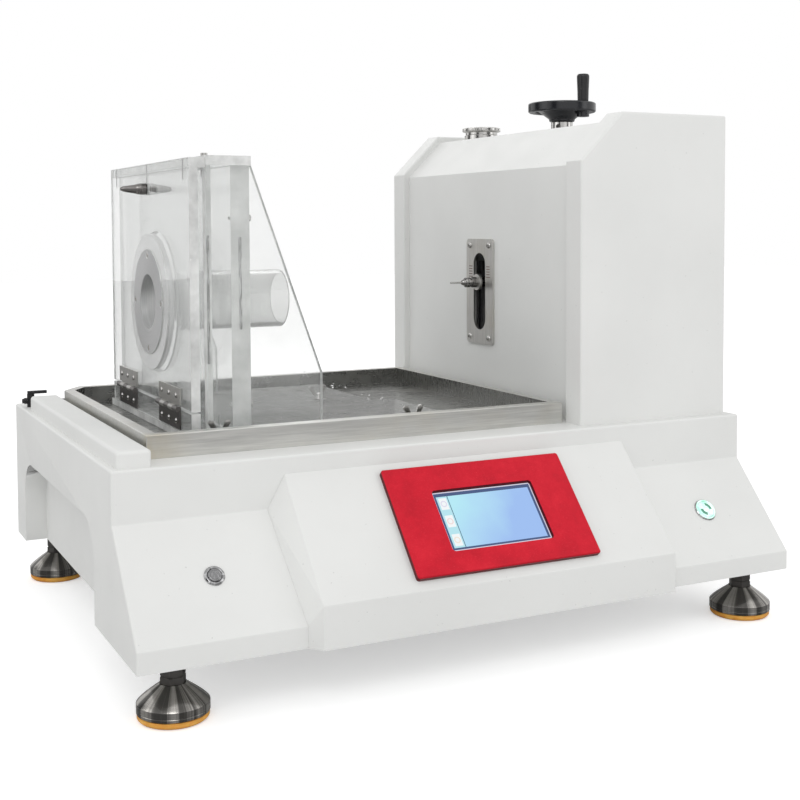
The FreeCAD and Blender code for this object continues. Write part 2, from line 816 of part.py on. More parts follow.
def nozzle_plate_screws():
    face = skin_left - plate_thick
    screws = []
    for y, z in plate_screw_places():
        screws.append(cap_screw(plate_screw_radius, plate_thick + 3 * sheet, 2.4, (face, y, z), (1, 0, 0)))
    return Part.makeCompound(screws)


# Screw drive of the nozzle

frame_low = target_z - slot_length / 2 - frame_drop
frame_high = nozzle_z + travel_up + carriage_height / 2 + frame_rise


def slide_frame():
    """C-shaped bracket that stands in the tower and holds both rods and the screw."""
    left = rod_x - frame_reach
    right = screw_x + frame_wall_reach
    front = jet_line_y - carriage_width / 2 - frame_side
    rear = jet_line_y + carriage_width / 2 + frame_side
    wall = box(right, right + frame_wall, front, rear, top_z, frame_high + frame_plate)
    lower = box(left, right, front, rear, frame_low - frame_plate, frame_low)
    upper = box(left, right, front, rear, frame_high, frame_high + frame_plate)
    foot = box(right + frame_wall, right + frame_wall + frame_foot, front, rear, top_z, top_z + frame_wall)
    bracket = wall.fuse([lower, upper, foot]).removeSplitter()
    for y in rod_places():
        bracket = bracket.cut(rod(rod_radius, frame_high - frame_low + 4 * frame_plate,
                                  (rod_x, y, frame_low - 2 * frame_plate)))
    for z in (frame_low - frame_plate, frame_high):
        bracket = bracket.cut(rod(screw_radius + running_gap, frame_plate, (screw_x, jet_line_y, z)))
    return bracket


def rod_places():
    return (jet_line_y - rod_spacing / 2, jet_line_y + rod_spacing / 2)


def guide_rods():
    length = frame_high + 2 * frame_plate - frame_low
    low = frame_low - frame_plate
    return Part.makeCompound([rod(rod_radius, length, (rod_x, y, low)) for y in rod_places()])


def lead_screw():
    low = frame_low - frame_plate - 4
    shaft = rod(screw_radius, wheel_low_z + 16 - low, (screw_x, jet_line_y, low))
    stop = rod(screw_radius + screw_stop, screw_stop, (screw_x, jet_line_y, frame_low + seat_gap))
    return shaft.fuse(stop).removeSplitter()


def nozzle_carriage():
    """Block on the rods, with the nut on the screw and the arm that reaches to the slot."""
    low = nozzle_z - carriage_height / 2
    block = box(rod_x - 14, screw_x + 17, jet_line_y - carriage_width / 2, jet_line_y + carriage_width / 2,
                low, low + carriage_height)
    block = round_edges(block, 3, lambda edge: runs_along(edge, Z_AXIS))
    arm = rod(stem_radius + 3, rod_x - 14 - arm_end_x, (arm_end_x, jet_line_y, nozzle_z), X_AXIS)
    shape = block.fuse(arm)
    for y in rod_places():
        shape = shape.cut(rod(rod_radius + running_gap, carriage_height + 2, (rod_x, y, low - 1)))
    shape = shape.cut(rod(screw_radius + running_gap, carriage_height + 2, (screw_x, jet_line_y, low - 1)))
    return shape.removeSplitter()


arm_end_x = skin_left + sheet + 6.0
flange_x = skin_left - plate_thick - 1.0 - flange_thick


def nozzle_body():
    """Turned nozzle, from the stem behind the plate to the needle tip."""
    profile = [
        (0, 0), (stem_radius, 0), (stem_radius, arm_end_x - flange_x - flange_thick),
        (flange_radius, arm_end_x - flange_x - flange_thick), (flange_radius, arm_end_x - flange_x),
        (hub_radius, arm_end_x - flange_x), (hub_radius, arm_end_x - flange_x + 7),
        (hub_radius - 1.6, arm_end_x - flange_x + 7), (hub_radius - 1.6, arm_end_x - flange_x + 10),
        (hub_radius, arm_end_x - flange_x + 10), (hub_radius, arm_end_x - flange_x + 16),
        (4.2, arm_end_x - flange_x + 17), (3.0, arm_end_x - flange_x + hub_length),
        (0, arm_end_x - flange_x + hub_length),
    ]
    body = turned(profile, (arm_end_x, jet_line_y, nozzle_z), (Y_AXIS, -90))
    face = flange_x - hub_length
    body = body.cut(rod(needle_radius, needle_grip, (face, jet_line_y, nozzle_z), X_AXIS))
    return body.cut(rod(needle_bore, arm_end_x - face, (face, jet_line_y, nozzle_z), X_AXIS))


def nozzle_needle():
    tip = flange_x - hub_length - needle_length
    return tube(needle_radius, needle_bore, needle_length + needle_grip, (tip, jet_line_y, nozzle_z), X_AXIS)


wheel_low_z = skin_top + collar_height + loose_gap


def wheel_collar():
    top = collar_height
    profile = [(screw_radius + running_gap, 0), (collar_radius, 0), (collar_radius, 3),
               (collar_radius - 3, 3.6), (collar_radius - 3, top), (screw_radius + running_gap, top)]
    return turned(profile, (screw_x, jet_line_y, skin_top))


def handwheel():
    """Dished wheel: a waisted hub that flares into three spokes and a deep rim."""
    rim_low = wheel_height - rim_height
    waist = wheel_hub_radius
    hub = turned([(screw_radius, 0), (waist - 0.8, 0), (waist, 0.8), (waist, 3.5), (waist + 2, 6),
                  (waist + 4, wheel_height - 7), (waist + 2, wheel_height - 3),
                  (screw_radius, wheel_height - 3)], (0, 0, 0))
    rim = turned([(wheel_radius - rim_width, rim_low + 2), (wheel_radius - rim_width + 2, rim_low),
                  (wheel_radius - 1.5, rim_low), (wheel_radius, rim_low + 1.5),
                  (wheel_radius, wheel_height - 2.5), (wheel_radius - 2.5, wheel_height),
                  (wheel_radius - rim_width + 2, wheel_height),
                  (wheel_radius - rim_width, wheel_height - 2)], (0, 0, 0))
    wheel = hub.fuse(rim)
    for index in range(spoke_count):
        near = wheel_hub_radius - 3
        far = wheel_radius - rim_width + 3
        spoke = prism([(near, -8, 3.5), (near, -8, wheel_height - 4), (far, -8, wheel_height - 4),
                       (far, -8, rim_low + 1), (wheel_hub_radius + 8, -8, 7)], Vec(0, 16, 0))
        spoke.rotate(Vec(0, 0, 0), Z_AXIS, crank_angle + 360 / spoke_count * index)
        wheel = wheel.fuse(spoke)
    boss = rod(grip_radius + 1, wheel_height - 5, (crank_offset, 0, 5))
    hole = rod(grip_pin_radius + running_gap, wheel_height, (crank_offset, 0, 6))
    boss = boss.cut(hole)
    boss.rotate(Vec(0, 0, 0), Z_AXIS, crank_angle)
    hole.rotate(Vec(0, 0, 0), Z_AXIS, crank_angle)
    bore = rod(screw_radius, 16, (0, 0, -1))
    wheel = wheel.fuse(boss).cut(hole).cut(bore).removeSplitter()
    wheel.translate(Vec(screw_x, jet_line_y, wheel_low_z))
    return wheel


def crank_place():
    turn = math.radians(crank_angle)
    return screw_x + crank_offset * math.cos(turn), jet_line_y + crank_offset * math.sin(turn)


def crank_handle():
    x, y = crank_place()
    base = wheel_low_z + wheel_height + loose_gap
    grip = turned([(0, 0), (grip_radius - 1, 0), (grip_radius, 1), (grip_top_radius, grip_height - 2),
                   (grip_top_radius - 2, grip_height), (0, grip_height)], (x, y, base))
    pin = rod(grip_pin_radius, 14, (x, y, base - 13))
    return grip.fuse(pin).removeSplitter()


# Filler, reservoir and valve

def filler_neck():
    neck = tube(filler_radius, filler_bore, filler_rise, (filler_x, filler_y, skin_top))
    sleeve = tube(filler_bore + 2, filler_bore, 22, (filler_x, filler_y, skin_top - 22))
    return neck.fuse(sleeve).removeSplitter()


def filler_cap():
    low = skin_top + filler_rise + seat_gap
    cap = turned([(0, 0), (cap_radius, 0), (cap_radius, cap_height - 3), (cap_radius - 3, cap_height),
                  (0, cap_height)], (0, 0, 0))
    for index in range(cap_lobes):
        turn = 2 * math.pi * index / cap_lobes
        reach = cap_radius + groove_radius / 2
        place = (reach * math.cos(turn), reach * math.sin(turn), -1)
        cap = cap.cut(rod(groove_radius, cap_height + 2, place))
    plug = rod(filler_bore - running_gap, filler_rise, (0, 0, -filler_rise))
    cap = cap.fuse(plug).removeSplitter()
    cap.translate(Vec(filler_x, filler_y, low))
    return cap


vessel_top_z = skin_top - 22.0
vessel_low_z = vessel_top_z - vessel_height


def reservoir():
    inner = vessel_radius - vessel_wall
    profile = [(pipe_bore, 0), (14, 0), (vessel_radius, 18), (vessel_radius, vessel_height - 6),
               (vessel_radius - 6, vessel_height), (filler_bore, vessel_height),
               (filler_bore, vessel_height - vessel_wall), (inner - 4, vessel_height - vessel_wall),
               (inner, vessel_height - 7), (inner, 20), (12, vessel_wall), (pipe_bore, vessel_wall)]
    vessel = turned(profile, (filler_x, filler_y, vessel_low_z))
    for index in range(3):
        turn = 2 * math.pi * index / 3 + math.pi / 2
        x = filler_x + (vessel_radius - leg_radius + 1) * math.cos(turn)
        y = filler_y + (vessel_radius - leg_radius + 1) * math.sin(turn)
        leg = rod(leg_radius, vessel_low_z + 22 - top_z, (x, y, top_z))
        inside = rod(inner, vessel_height, (filler_x, filler_y, vessel_low_z + 19))
        vessel = vessel.fuse(leg.cut(inside))
    return vessel.removeSplitter()


def solenoid_valve():
    width, depth, height = valve_size
    body = box(filler_x - width / 2, filler_x + width / 2, valve_y - depth / 2, valve_y + depth / 2,
               top_z, top_z + height)
    body = round_edges(body, 3, lambda edge: edge_middle(edge).z > top_z + 1)
    coil = rod(coil_radius, coil_height, (filler_x, valve_y - 4, top_z + height))
    nut = rod(6, 5, (filler_x, valve_y - 4, top_z + height + coil_height))
    bore = rod(pipe_bore, 12, (filler_x, valve_y + depth / 2, pipe_low_z), Vec(0, -1, 0))
    return body.fuse([coil, nut]).cut(bore).removeSplitter()


pipe_low_z = top_z + valve_pipe_rise


def supply_tube():
    """Rigid pipe from the foot of the reservoir down and forward into the valve."""
    top = Vec(filler_x, filler_y, vessel_low_z)
    end = Vec(filler_x, valve_y + valve_size[1] / 2, pipe_low_z)
    bend_start = Vec(filler_x, filler_y, pipe_low_z + pipe_bend)
    bend_end = Vec(filler_x, filler_y - pipe_bend, pipe_low_z)
    centre = Vec(filler_x, filler_y - pipe_bend, pipe_low_z + pipe_bend)
    middle = centre.add(Vec(0, pipe_bend / math.sqrt(2), -pipe_bend / math.sqrt(2)))
    path = Part.Wire([Part.makeLine(top, bend_start), Part.Arc(bend_start, middle, bend_end).toShape(),
                      Part.makeLine(bend_end, end)])
    pipes = []
    for radius in (pipe_radius, pipe_bore):
        ring = Part.Wire(Part.makeCircle(radius, top, Vec(0, 0, -1)))
        pipes.append(path.makePipeShell([ring], True, True))
    return pipes[0].cut(pipes[1])


# Specimen fixture

def bolt_slot(x, y, z0, z1, half_width):
    """Slot along X for one wing bolt."""
    reach = slide_travel + bolt_radius + thread_clear
    slot = box(x - reach, x + reach, y - half_width, y + half_width, z0, z1)
    return round_edges(slot, half_width - 0.05, lambda edge: runs_along(edge, Z_AXIS))


def fixture_base_plate():
    right = fixture_left + base_length
    front = fixture_front - base_front_lip
    rear = fixture_rear + base_rear_lip
    step_y = jet_line_y - 2
    plate = prism([(fixture_left, front, base_z), (right, front, base_z), (right, step_y, base_z),
                   (right - base_notch, step_y, base_z), (right - base_notch, rear, base_z),
                   (fixture_left, rear, base_z)], Vec(0, 0, base_thick))
    for x, y in wing_bolts.values():
        plate = plate.cut(bolt_slot(x, y, base_z - 1, base_top_z + 1, bolt_radius + thread_clear))
    for x, y, z in plate_screw_holes():
        plate = plate.cut(rod(fixture_screw_radius, base_thick + 2, (x, y, base_z - 1)))
    return plate


fixture_screw_radius = 2.0
screw_grip = 12.0             # thread cut into an edge of a plate
floor_screw_inset = 64.0
rail_screw_inset = 24.0


def plate_screw_holes():
    """Screws that come up through the base plate into the back plate."""
    x = back_left + back_thick / 2
    spread = fixture_depth / 2 - floor_screw_inset
    return [(x, jet_line_y + y, base_top_z) for y in (-spread, 0, spread)]


def fixture_sill():
    sill = box(fixture_left, fixture_left + panel, fixture_front, fixture_rear, base_top_z, sill_top_z)
    for x, y, z in leaf_screw_places(-1):
        sill = sill.cut(rod(leaf_screw_radius, 8, (fixture_left, y, z), X_AXIS))
    return sill


def fixture_inner_plate():
    plate = box(inner_left, inner_left + inner_plate, fixture_front + panel, fixture_rear - panel,
                base_top_z, plate_top_z)
    opening = rod(ring_radius + ring_clear, inner_plate + 2, (inner_left - 1, jet_line_y, target_z), X_AXIS)
    start = (inner_left - 1, jet_line_y, latch_z)
    keeper = rod(latch_pin_radius + latch_clear, inner_plate + 2, start, X_AXIS)
    plate = plate.cut(opening).cut(keeper)
    x, y = top_screw_places()[0]
    return plate.cut(rod(fixture_screw_radius, screw_grip, (x, y, plate_top_z - screw_grip)))


def fixture_back_plate():
    plate = box(back_left, back_right, fixture_front + panel, fixture_rear - panel, base_top_z, plate_top_z)
    plate = plate.cut(rod(tube_radius + 0.02, back_thick + 2, (back_left - 1, jet_line_y, target_z), X_AXIS))
    for y, z in long_screw_places():
        plate = plate.cut(rod(fixture_screw_radius, back_thick + 2, (back_left - 1, y, z), X_AXIS))
    for x, y, z in plate_screw_holes():
        plate = plate.cut(rod(fixture_screw_radius, screw_grip, (x, y, z)))
    return plate


def long_screw_places():
    """Screws through the back plate, near its upright edges."""
    low = base_top_z + 29
    high = plate_top_z - 55
    return [(y, z) for y in (fixture_front + panel + 6, fixture_rear - panel - 6) for z in (low, high)]


def fixture_side_plates():
    plates = []
    for y in (fixture_front, fixture_rear - panel):
        plates.append(prism([(inner_left, y, base_top_z), (inner_left, y, plate_top_z),
                             (back_right, y, plate_top_z), (side_right, y, tray_floor_z + side_upright),
                             (side_right, y, base_top_z)], Vec(0, panel, 0)))
    return Part.makeCompound(plates)


def fixture_top_plate():
    plate = box(inner_left, back_right, fixture_front, fixture_rear, plate_top_z, fixture_top_z)
    for x, y in top_screw_places():
        plate = plate.cut(rod(fixture_screw_radius, panel, (x, y, plate_top_z)))
    return plate


def top_screw_places():
    return [(inner_left + inner_plate / 2, fixture_front + panel + 6)]


def target_tube():
    start = (back_left, jet_line_y, target_z)
    shape = tube(tube_radius, tube_radius - tube_wall, back_thick + tube_length, start, X_AXIS)
    return round_edges(shape, 0.6, lambda edge: edge.BoundBox.XMin > back_right + 1
                       and edge.BoundBox.XLength < 0.01)


def fixture_screws():
    screws = []
    for y, z in long_screw_places():
        screws.append(cap_screw(fixture_screw_radius, back_thick - 1, 3, (back_right, y, z), (-1, 0, 0)))
    for x, y in top_screw_places():
        screws.append(cap_screw(fixture_screw_radius, panel + 9, 3, (x, y, fixture_top_z), (0, 0, -1)))
    for x, y, z in plate_screw_holes():
        screws.append(rod(fixture_screw_radius, base_thick + screw_grip, (x, y, base_z)))
    for x, y, z in leaf_screw_places(-1):
        screws.append(leaf_screw(y, z))
    return Part.makeCompound(screws)


# Door of the fixture and its hinges

leaf_screw_radius = 1.5


def leaf_screw_places(side):
    """Three screws in each leaf; side is 1 on the door and -1 on the sill."""
    z = hinge_z + side * (hinge_leaf * 0.62)
    places = []
    for offset in (-hinge_offset, hinge_offset):
        for step in (-1, 0, 1):
            y = jet_line_y + offset + step * hinge_length * 0.34
            places.append((fixture_left, y, z))
    return places


def leaf_screw(y, z):
    outside = fixture_left - leaf_thick
    shank = rod(leaf_screw_radius, leaf_thick + 7, (outside, y, z), X_AXIS)
    head = turned([(0, 0), (3, 0), (2.4, 1.2), (0, 1.7)], (outside, y, z), (Y_AXIS, -90))
    return shank.fuse(head).removeSplitter()


def hinge_leaf_shape(centre_y, side):
    """One leaf with its own knuckles; side is 1 on the door and -1 on the sill."""
    start = centre_y - hinge_length / 2
    step = hinge_length / knuckle_count
    near = knuckle_radius + 0.6
    z0, z1 = sorted((hinge_z + side * near, hinge_z + side * hinge_leaf))
    leaf = box(fixture_left - leaf_thick, fixture_left, start, start + hinge_length, z0, z1)
    for index in range(knuckle_count):
        owner = -1 if index % 2 == 0 else 1
        if owner != side:
            continue
        y0 = start + index * step + 0.15
        length = step - 0.3
        knuckle = rod(knuckle_radius, length, (hinge_x, y0, hinge_z), Y_AXIS)
        z2, z3 = sorted((hinge_z, hinge_z + side * (near + 1)))
        web = box(fixture_left - leaf_thick, fixture_left - 0.4, y0, y0 + length, z2, z3)
        leaf = leaf.fuse([knuckle, web])
    gap = running_gap if side > 0 else 0.0
    leaf = leaf.cut(rod(pin_radius + gap, hinge_length + 2, (hinge_x, start - 1, hinge_z), Y_AXIS))
    for x, y, z in leaf_screw_places(side):
        if abs(y - centre_y) < hinge_length:
            hole = rod(leaf_screw_radius, leaf_thick + 2, (x - leaf_thick - 1, y, z), X_AXIS)
            leaf = leaf.cut(hole)
    return leaf.removeSplitter()


def door_hinge_lower():
    shapes = []
    for offset in (-hinge_offset, hinge_offset):
        centre = jet_line_y + offset
        shapes.append(hinge_leaf_shape(centre, -1))
        shapes.append(rod(pin_radius, hinge_length, (hinge_x, centre - hinge_length / 2, hinge_z), Y_AXIS))
    return Part.makeCompound(shapes)


def door_hinge_upper():
    centres = (jet_line_y - hinge_offset, jet_line_y + hinge_offset)
    return Part.makeCompound([hinge_leaf_shape(centre, 1) for centre in centres])


bush_radius = 7.0
rail_screw_spread = fixture_depth / 2 - rail_screw_inset


def rail_screw_places():
    x = fixture_left + panel / 2
    return [(x, jet_line_y + step * rail_screw_spread) for step in (-1, 0, 1)]


def door_plate():
    plate = box(fixture_left, fixture_left + panel, fixture_front, fixture_rear, door_z, door_top_z)
    plate = plate.cut(rod(ring_face_radius, panel, (fixture_left, jet_line_y, target_z), X_AXIS))
    plate = plate.cut(rod(ring_radius, panel, (fixture_left + ring_lip, jet_line_y, target_z), X_AXIS))
    plate = plate.cut(rod(bush_radius, panel, (fixture_left, jet_line_y, latch_z), X_AXIS))
    for x, y, z in leaf_screw_places(1):
        plate = plate.cut(rod(leaf_screw_radius, 8, (fixture_left, y, z), X_AXIS))
    for x, y in rail_screw_places():
        plate = plate.cut(rod(fixture_screw_radius, screw_grip, (x, y, door_top_z - screw_grip)))
    return plate


ring_lip = 5.0
ring_screw_length = 13.0


def door_top_rail():
    high = door_top_z + rail_thick
    rail = box(fixture_left, fixture_left + rail_depth, fixture_front, fixture_rear, door_top_z, high)
    rail = round_edges(rail, 0.8, lambda edge: edge_middle(edge).z > high - 0.01)
    for x, y in rail_screw_places():
        rail = rail.cut(rod(fixture_screw_radius, rail_thick, (x, y, door_top_z)))
    return rail


def specimen_ring():
    """Turned aluminium ring in the door, stepped on the specimen side, with a round aperture."""
    deep = inner_offset + 3.5
    profile = [
        (aperture_radius, 0.4), (aperture_radius + 1.4, 0),
        (ring_face_radius, 0), (ring_face_radius, ring_lip),
        (ring_radius, ring_lip), (ring_radius, inner_offset - 3), (ring_radius - 1, inner_offset - 2),
        (ring_step_radius, inner_offset - 2), (ring_step_radius, inner_offset + 0.5),
        (ring_step_radius - 7, inner_offset + 0.5), (ring_step_radius - 7, deep - 1.5),
        (ring_step_radius - 9, deep),
        (aperture_radius + 10, deep), (aperture_radius + 6, 8), (aperture_radius, 8),
    ]
    ring = turned(profile, (0, 0, 0), (Y_AXIS, 90))
    for index in range(4):
        turn = math.pi / 2 * index
        y = ring_bolt_radius * math.cos(turn)
        z = ring_bolt_radius * math.sin(turn)
        ring = ring.cut(rod(2.4, deep + 2, (-1, y, z), X_AXIS))
        ring = ring.cut(Part.makeCone(4.4, 2.4, 2.2, Vec(0, y, z), X_AXIS))
    ring.translate(Vec(fixture_left, jet_line_y, target_z))
    return ring


def door_hardware():
    """Screws of the rail, ring and upper leaves, and the bush that guides the latch."""
    pieces = []
    for x, y in rail_screw_places():
        pieces.append(rod(fixture_screw_radius, rail_thick + screw_grip, (x, y, door_top_z - screw_grip)))
    for index in range(4):
        turn = math.pi / 2 * index
        y = jet_line_y + ring_bolt_radius * math.cos(turn)
        z = target_z + ring_bolt_radius * math.sin(turn)
        profile = [(0, 0.2), (4.2, 0.2), (2.2, 2.3), (2.2, ring_screw_length), (0, ring_screw_length)]
        pieces.append(turned(profile, (fixture_left, y, z), (Y_AXIS, 90)))
    for x, y, z in leaf_screw_places(1):
        pieces.append(leaf_screw(y, z))
    start = (fixture_left, jet_line_y, latch_z)
    pieces.append(tube(bush_radius, latch_pin_radius + running_gap, panel, start, X_AXIS))
    return Part.makeCompound(pieces)


def door_latch():
    """Pull latch: a tapered knob outside the door and a pin into the inner plate."""
    reach = inner_offset + latch_grip
    profile = [(0, -reach), (latch_pin_radius - 1.5, -reach), (latch_pin_radius, -reach + 1.5),
               (latch_pin_radius, loose_gap), (latch_knob_radius, loose_gap), (latch_knob_radius, 8),
               (latch_knob_radius - 1.5, 12), (latch_knob_radius - 2.5, 22), (1.6, latch_knob_length),
               (0, latch_knob_length)]
    return turned(profile, (fixture_left, jet_line_y, latch_z), (Y_AXIS, -90))


def wing_bolt(place):
    x, y = place
    low = base_top_z + seat_gap
    shank = rod(bolt_radius, low - top_z + 8, (x, y, top_z - 8))
    washer = rod(6.5, 1.6, (x, y, low))
    neck = turned([(0, 1.6), (5, 1.6), (3.8, 8), (0, 9)], (x, y, low))
    right = [(3, 3), (7, 7), (wing_span, wing_rise - 3), (wing_span - 2.5, wing_rise),
             (wing_span - 6, wing_rise - 1), (3, 8.5)]
    outline = right + [(-reach, height) for reach, height in reversed(right)]
    face = y - wing_thick / 2
    wings = prism([(x + reach, face, low + height) for reach, height in outline], Vec(0, wing_thick, 0))
    return shank.fuse([washer, neck, wings]).removeSplitter()


# Levelling feet

def foot_pads():
    profile = [(0, 0), (pad_radius - 2.5, 0), (pad_radius, 2.5), (pad_radius, pad_thick), (0, pad_thick)]
    return Part.makeCompound([turned(profile, (x, y, 0)) for x, y in foot_places()])


def foot_cups():
    """Turned steel cups: a short rim, a cone and a socket for the ball of the stud."""
    top = pad_thick + cup_height
    socket_radius = stud_radius + 1 + running_gap
    profile = [(0, pad_thick), (cup_radius, pad_thick), (cup_radius, pad_thick + cup_rim - 1),
               (cup_radius - 1.4, pad_thick + cup_rim), (neck_radius + 3, top - 3), (neck_radius + 1, top),
               (socket_radius, top), (socket_radius, pad_thick + socket_floor),
               (0, pad_thick + socket_floor)]
    return Part.makeCompound([turned(profile, (x, y, 0)) for x, y in foot_places()])


def foot_stud(place):
    """Stud with a hexagon collar between the cup and the cabinet."""
    x, y = place
    low = pad_thick + socket_floor + loose_gap
    collar_low = pad_thick + cup_height + loose_gap
    collar_high = under_z - loose_gap
    high = under_z + stud_rise
    profile = [(0, low), (stud_radius + 1, low), (stud_radius + 1, collar_low),
               (neck_radius - neck_chamfer, collar_low), (neck_radius, collar_low + neck_chamfer / 2),
               (neck_radius, collar_high - neck_chamfer / 2), (neck_radius - neck_chamfer, collar_high),
               (stud_radius, collar_high), (stud_radius, high - 1), (stud_radius - 1, high), (0, high)]
    corners = []
    for index in range(6):
        turn = math.radians(60 * index)
        corners.append((neck_radius * math.cos(turn), neck_radius * math.sin(turn), 0))
    stud = turned(profile, (0, 0, 0)).common(prism(corners, Vec(0, 0, high + 1)))
    stud.translate(Vec(x, y, 0))
    return stud


pieces = {
    "base_cabinet": base_cabinet,
    "bottom_plate": bottom_plate,
    "console_housing": console_housing,
    "screen_bezel": screen_bezel,
    "touch_screen": touch_screen,
    "control_board": control_board,
    "power_supply": power_supply,
    "button_rings": button_rings,
    "mains_inlet": mains_inlet,
    "air_inlet": air_inlet,
    "tray_rail": tray_rail,
    "drip_tray": drip_tray,
    "drain_valve_body": drain_valve_body,
    "drain_valve_lever": drain_valve_lever,
    "tower_front_panel": lambda: end_cover(tower_front, skin_front),
    "tower_rear_panel": lambda: end_cover(tower_rear, skin_rear),
    "tower_skin": tower_skin,
    "tower_side_cover": tower_side_cover,
    "nozzle_plate": nozzle_plate,
    "nozzle_plate_screws": nozzle_plate_screws,
    "slide_frame": slide_frame,
    "guide_rods": guide_rods,
    "lead_screw": lead_screw,
    "nozzle_carriage": nozzle_carriage,
    "nozzle_body": nozzle_body,
    "nozzle_needle": nozzle_needle,
    "wheel_collar": wheel_collar,
    "handwheel": handwheel,
    "crank_handle": crank_handle,
    "filler_neck": filler_neck,
    "filler_cap": filler_cap,
    "reservoir": reservoir,
    "solenoid_valve": solenoid_valve,
    "supply_tube": supply_tube,
    "fixture_base_plate": fixture_base_plate,
    "fixture_sill": fixture_sill,
    "fixture_inner_plate": fixture_inner_plate,
    "fixture_back_plate": fixture_back_plate,
    "fixture_side_plates": fixture_side_plates,
    "fixture_top_plate": fixture_top_plate,
    "target_tube": target_tube,
    "fixture_screws": fixture_screws,
    "door_hinge_lower": door_hinge_lower,
    "door_hinge_upper": door_hinge_upper,
    "door_plate": door_plate,
    "door_top_rail": door_top_rail,
    "specimen_ring": specimen_ring,
    "door_hardware": door_hardware,
    "door_latch": door_latch,
    "start_button": lambda: button_cap(-1, start_radius),
    "power_button": lambda: button_cap(1, power_radius),
    "foot_pads": foot_pads,
    "foot_cups": foot_cups,
}
for name, place in wing_bolts.items():
    pieces["wing_bolt_" + name] = lambda place=place: wing_bolt(place)
for name, place in zip(("front_left", "front_right", "rear_left", "rear_right"), foot_places()):
    pieces["foot_stud_" + name] = lambda place=place: foot_stud(place)

os.makedirs("parts", exist_ok=True)
for name, make in pieces.items():
    shape = make()
    shape.exportStep("parts/" + name + ".step")
    print(name, "solids", len(shape.Solids), "valid", shape.isValid(), "volume", round(shape.Volume))
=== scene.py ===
import json
import math
import bpy
import bmesh
from mathutils import Matrix, Vector

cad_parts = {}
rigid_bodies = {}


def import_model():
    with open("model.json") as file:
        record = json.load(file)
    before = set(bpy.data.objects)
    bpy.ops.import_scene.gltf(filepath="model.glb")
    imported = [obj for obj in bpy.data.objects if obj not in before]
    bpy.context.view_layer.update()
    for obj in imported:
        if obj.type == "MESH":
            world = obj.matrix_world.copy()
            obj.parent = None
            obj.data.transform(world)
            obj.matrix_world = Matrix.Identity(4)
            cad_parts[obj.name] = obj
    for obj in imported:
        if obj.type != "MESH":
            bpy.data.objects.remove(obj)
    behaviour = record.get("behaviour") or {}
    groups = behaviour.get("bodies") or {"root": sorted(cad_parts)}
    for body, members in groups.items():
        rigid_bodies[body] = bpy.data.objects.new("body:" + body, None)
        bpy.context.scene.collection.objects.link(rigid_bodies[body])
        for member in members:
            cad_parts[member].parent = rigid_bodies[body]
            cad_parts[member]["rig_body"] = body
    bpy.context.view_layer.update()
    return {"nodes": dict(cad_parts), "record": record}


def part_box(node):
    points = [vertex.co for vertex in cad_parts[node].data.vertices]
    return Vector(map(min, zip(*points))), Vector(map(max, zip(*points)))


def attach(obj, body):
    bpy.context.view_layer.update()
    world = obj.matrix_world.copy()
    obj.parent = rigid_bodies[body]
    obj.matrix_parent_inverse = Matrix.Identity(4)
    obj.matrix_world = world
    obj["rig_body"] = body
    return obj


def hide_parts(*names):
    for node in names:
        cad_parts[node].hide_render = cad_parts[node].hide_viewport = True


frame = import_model()
nodes = frame["nodes"]
slotOf = {part["node"]: part["material_slot"] for part in frame["record"]["subparts"]}
mm = 0.001
made = []


# Node helpers for materials. Vectors are Object coordinates, or the stored directions of turned pieces.
def feed(tree, node, sockets):
    # links each socket to another node's output, or sets its value
    for name, value in sockets.items():
        socket = node.inputs[name]
        if isinstance(value, bpy.types.NodeSocket):
            tree.links.new(value, socket)
        else:
            socket.default_value = (*value, 1) if socket.type == "RGBA" else value
    return node


def add(tree, kind, sockets=None, **settings):
    node = tree.nodes.new(kind)
    for name, value in settings.items():
        setattr(node, name, value)
    return feed(tree, node, sockets or {})


def startMaterial(name, color, metallic=0.0, roughness=0.5, **sockets):
    material = bpy.data.materials.new(name)
    material.use_nodes = True
    tree = material.node_tree
    values = {"Base Color": color, "Metallic": metallic, "Roughness": roughness}
    values.update({socket.replace("_", " "): value for socket, value in sockets.items()})
    return material, tree, feed(tree, tree.nodes["Principled BSDF"], values)


def place(tree, scale=(1, 1, 1), source="object"):
    if source == "object":
        vector = add(tree, "ShaderNodeTexCoord").outputs["Object"]
    else:
        vector = add(tree, "ShaderNodeAttribute", attribute_name=source).outputs["Vector"]
    return add(tree, "ShaderNodeMapping", {"Vector": vector, "Scale": scale}).outputs["Vector"]


def noise(tree, vector, scale, detail=3.0, rough=0.55):
    values = {"Vector": vector, "Scale": scale, "Detail": detail, "Roughness": rough}
    return add(tree, "ShaderNodeTexNoise", values).outputs["Fac"]


def spread(tree, value, low, high, outLow, outHigh):
    values = {"Value": value, "From Min": low, "From Max": high, "To Min": outLow, "To Max": outHigh}
    return add(tree, "ShaderNodeMapRange", values).outputs["Result"]


def tint(tree, value, stops):
    node = add(tree, "ShaderNodeValToRGB", {"Fac": value})
    ramp = node.color_ramp
    while len(ramp.elements) < len(stops):
        ramp.elements.new(0.5)
    for element, (position, color) in zip(ramp.elements, stops):
        element.position = position
        element.color = (*color, 1)
    return node.outputs["Color"]


def mix(tree, first, second, factor):
    return add(tree, "ShaderNodeMix", {6: first, 7: second, 0: factor}, data_type="RGBA").outputs[2]


def blended(tree, factor, first, second):
    return add(tree, "ShaderNodeMixShader", {0: factor, 1: first, 2: second}).outputs[0]


def combine(tree, first, second, how="ADD"):
    return add(tree, "ShaderNodeMath", {0: first, 1: second}, operation=how).outputs[0]


def times(tree, first, second):
    return combine(tree, first, second, "MULTIPLY")


def joinParts(tree, sockets):
    return add(tree, "ShaderNodeCombineXYZ", sockets).outputs[0]


def within(tree, value, low, high):
    return times(tree, combine(tree, value, low, "GREATER_THAN"), combine(tree, value, high, "LESS_THAN"))


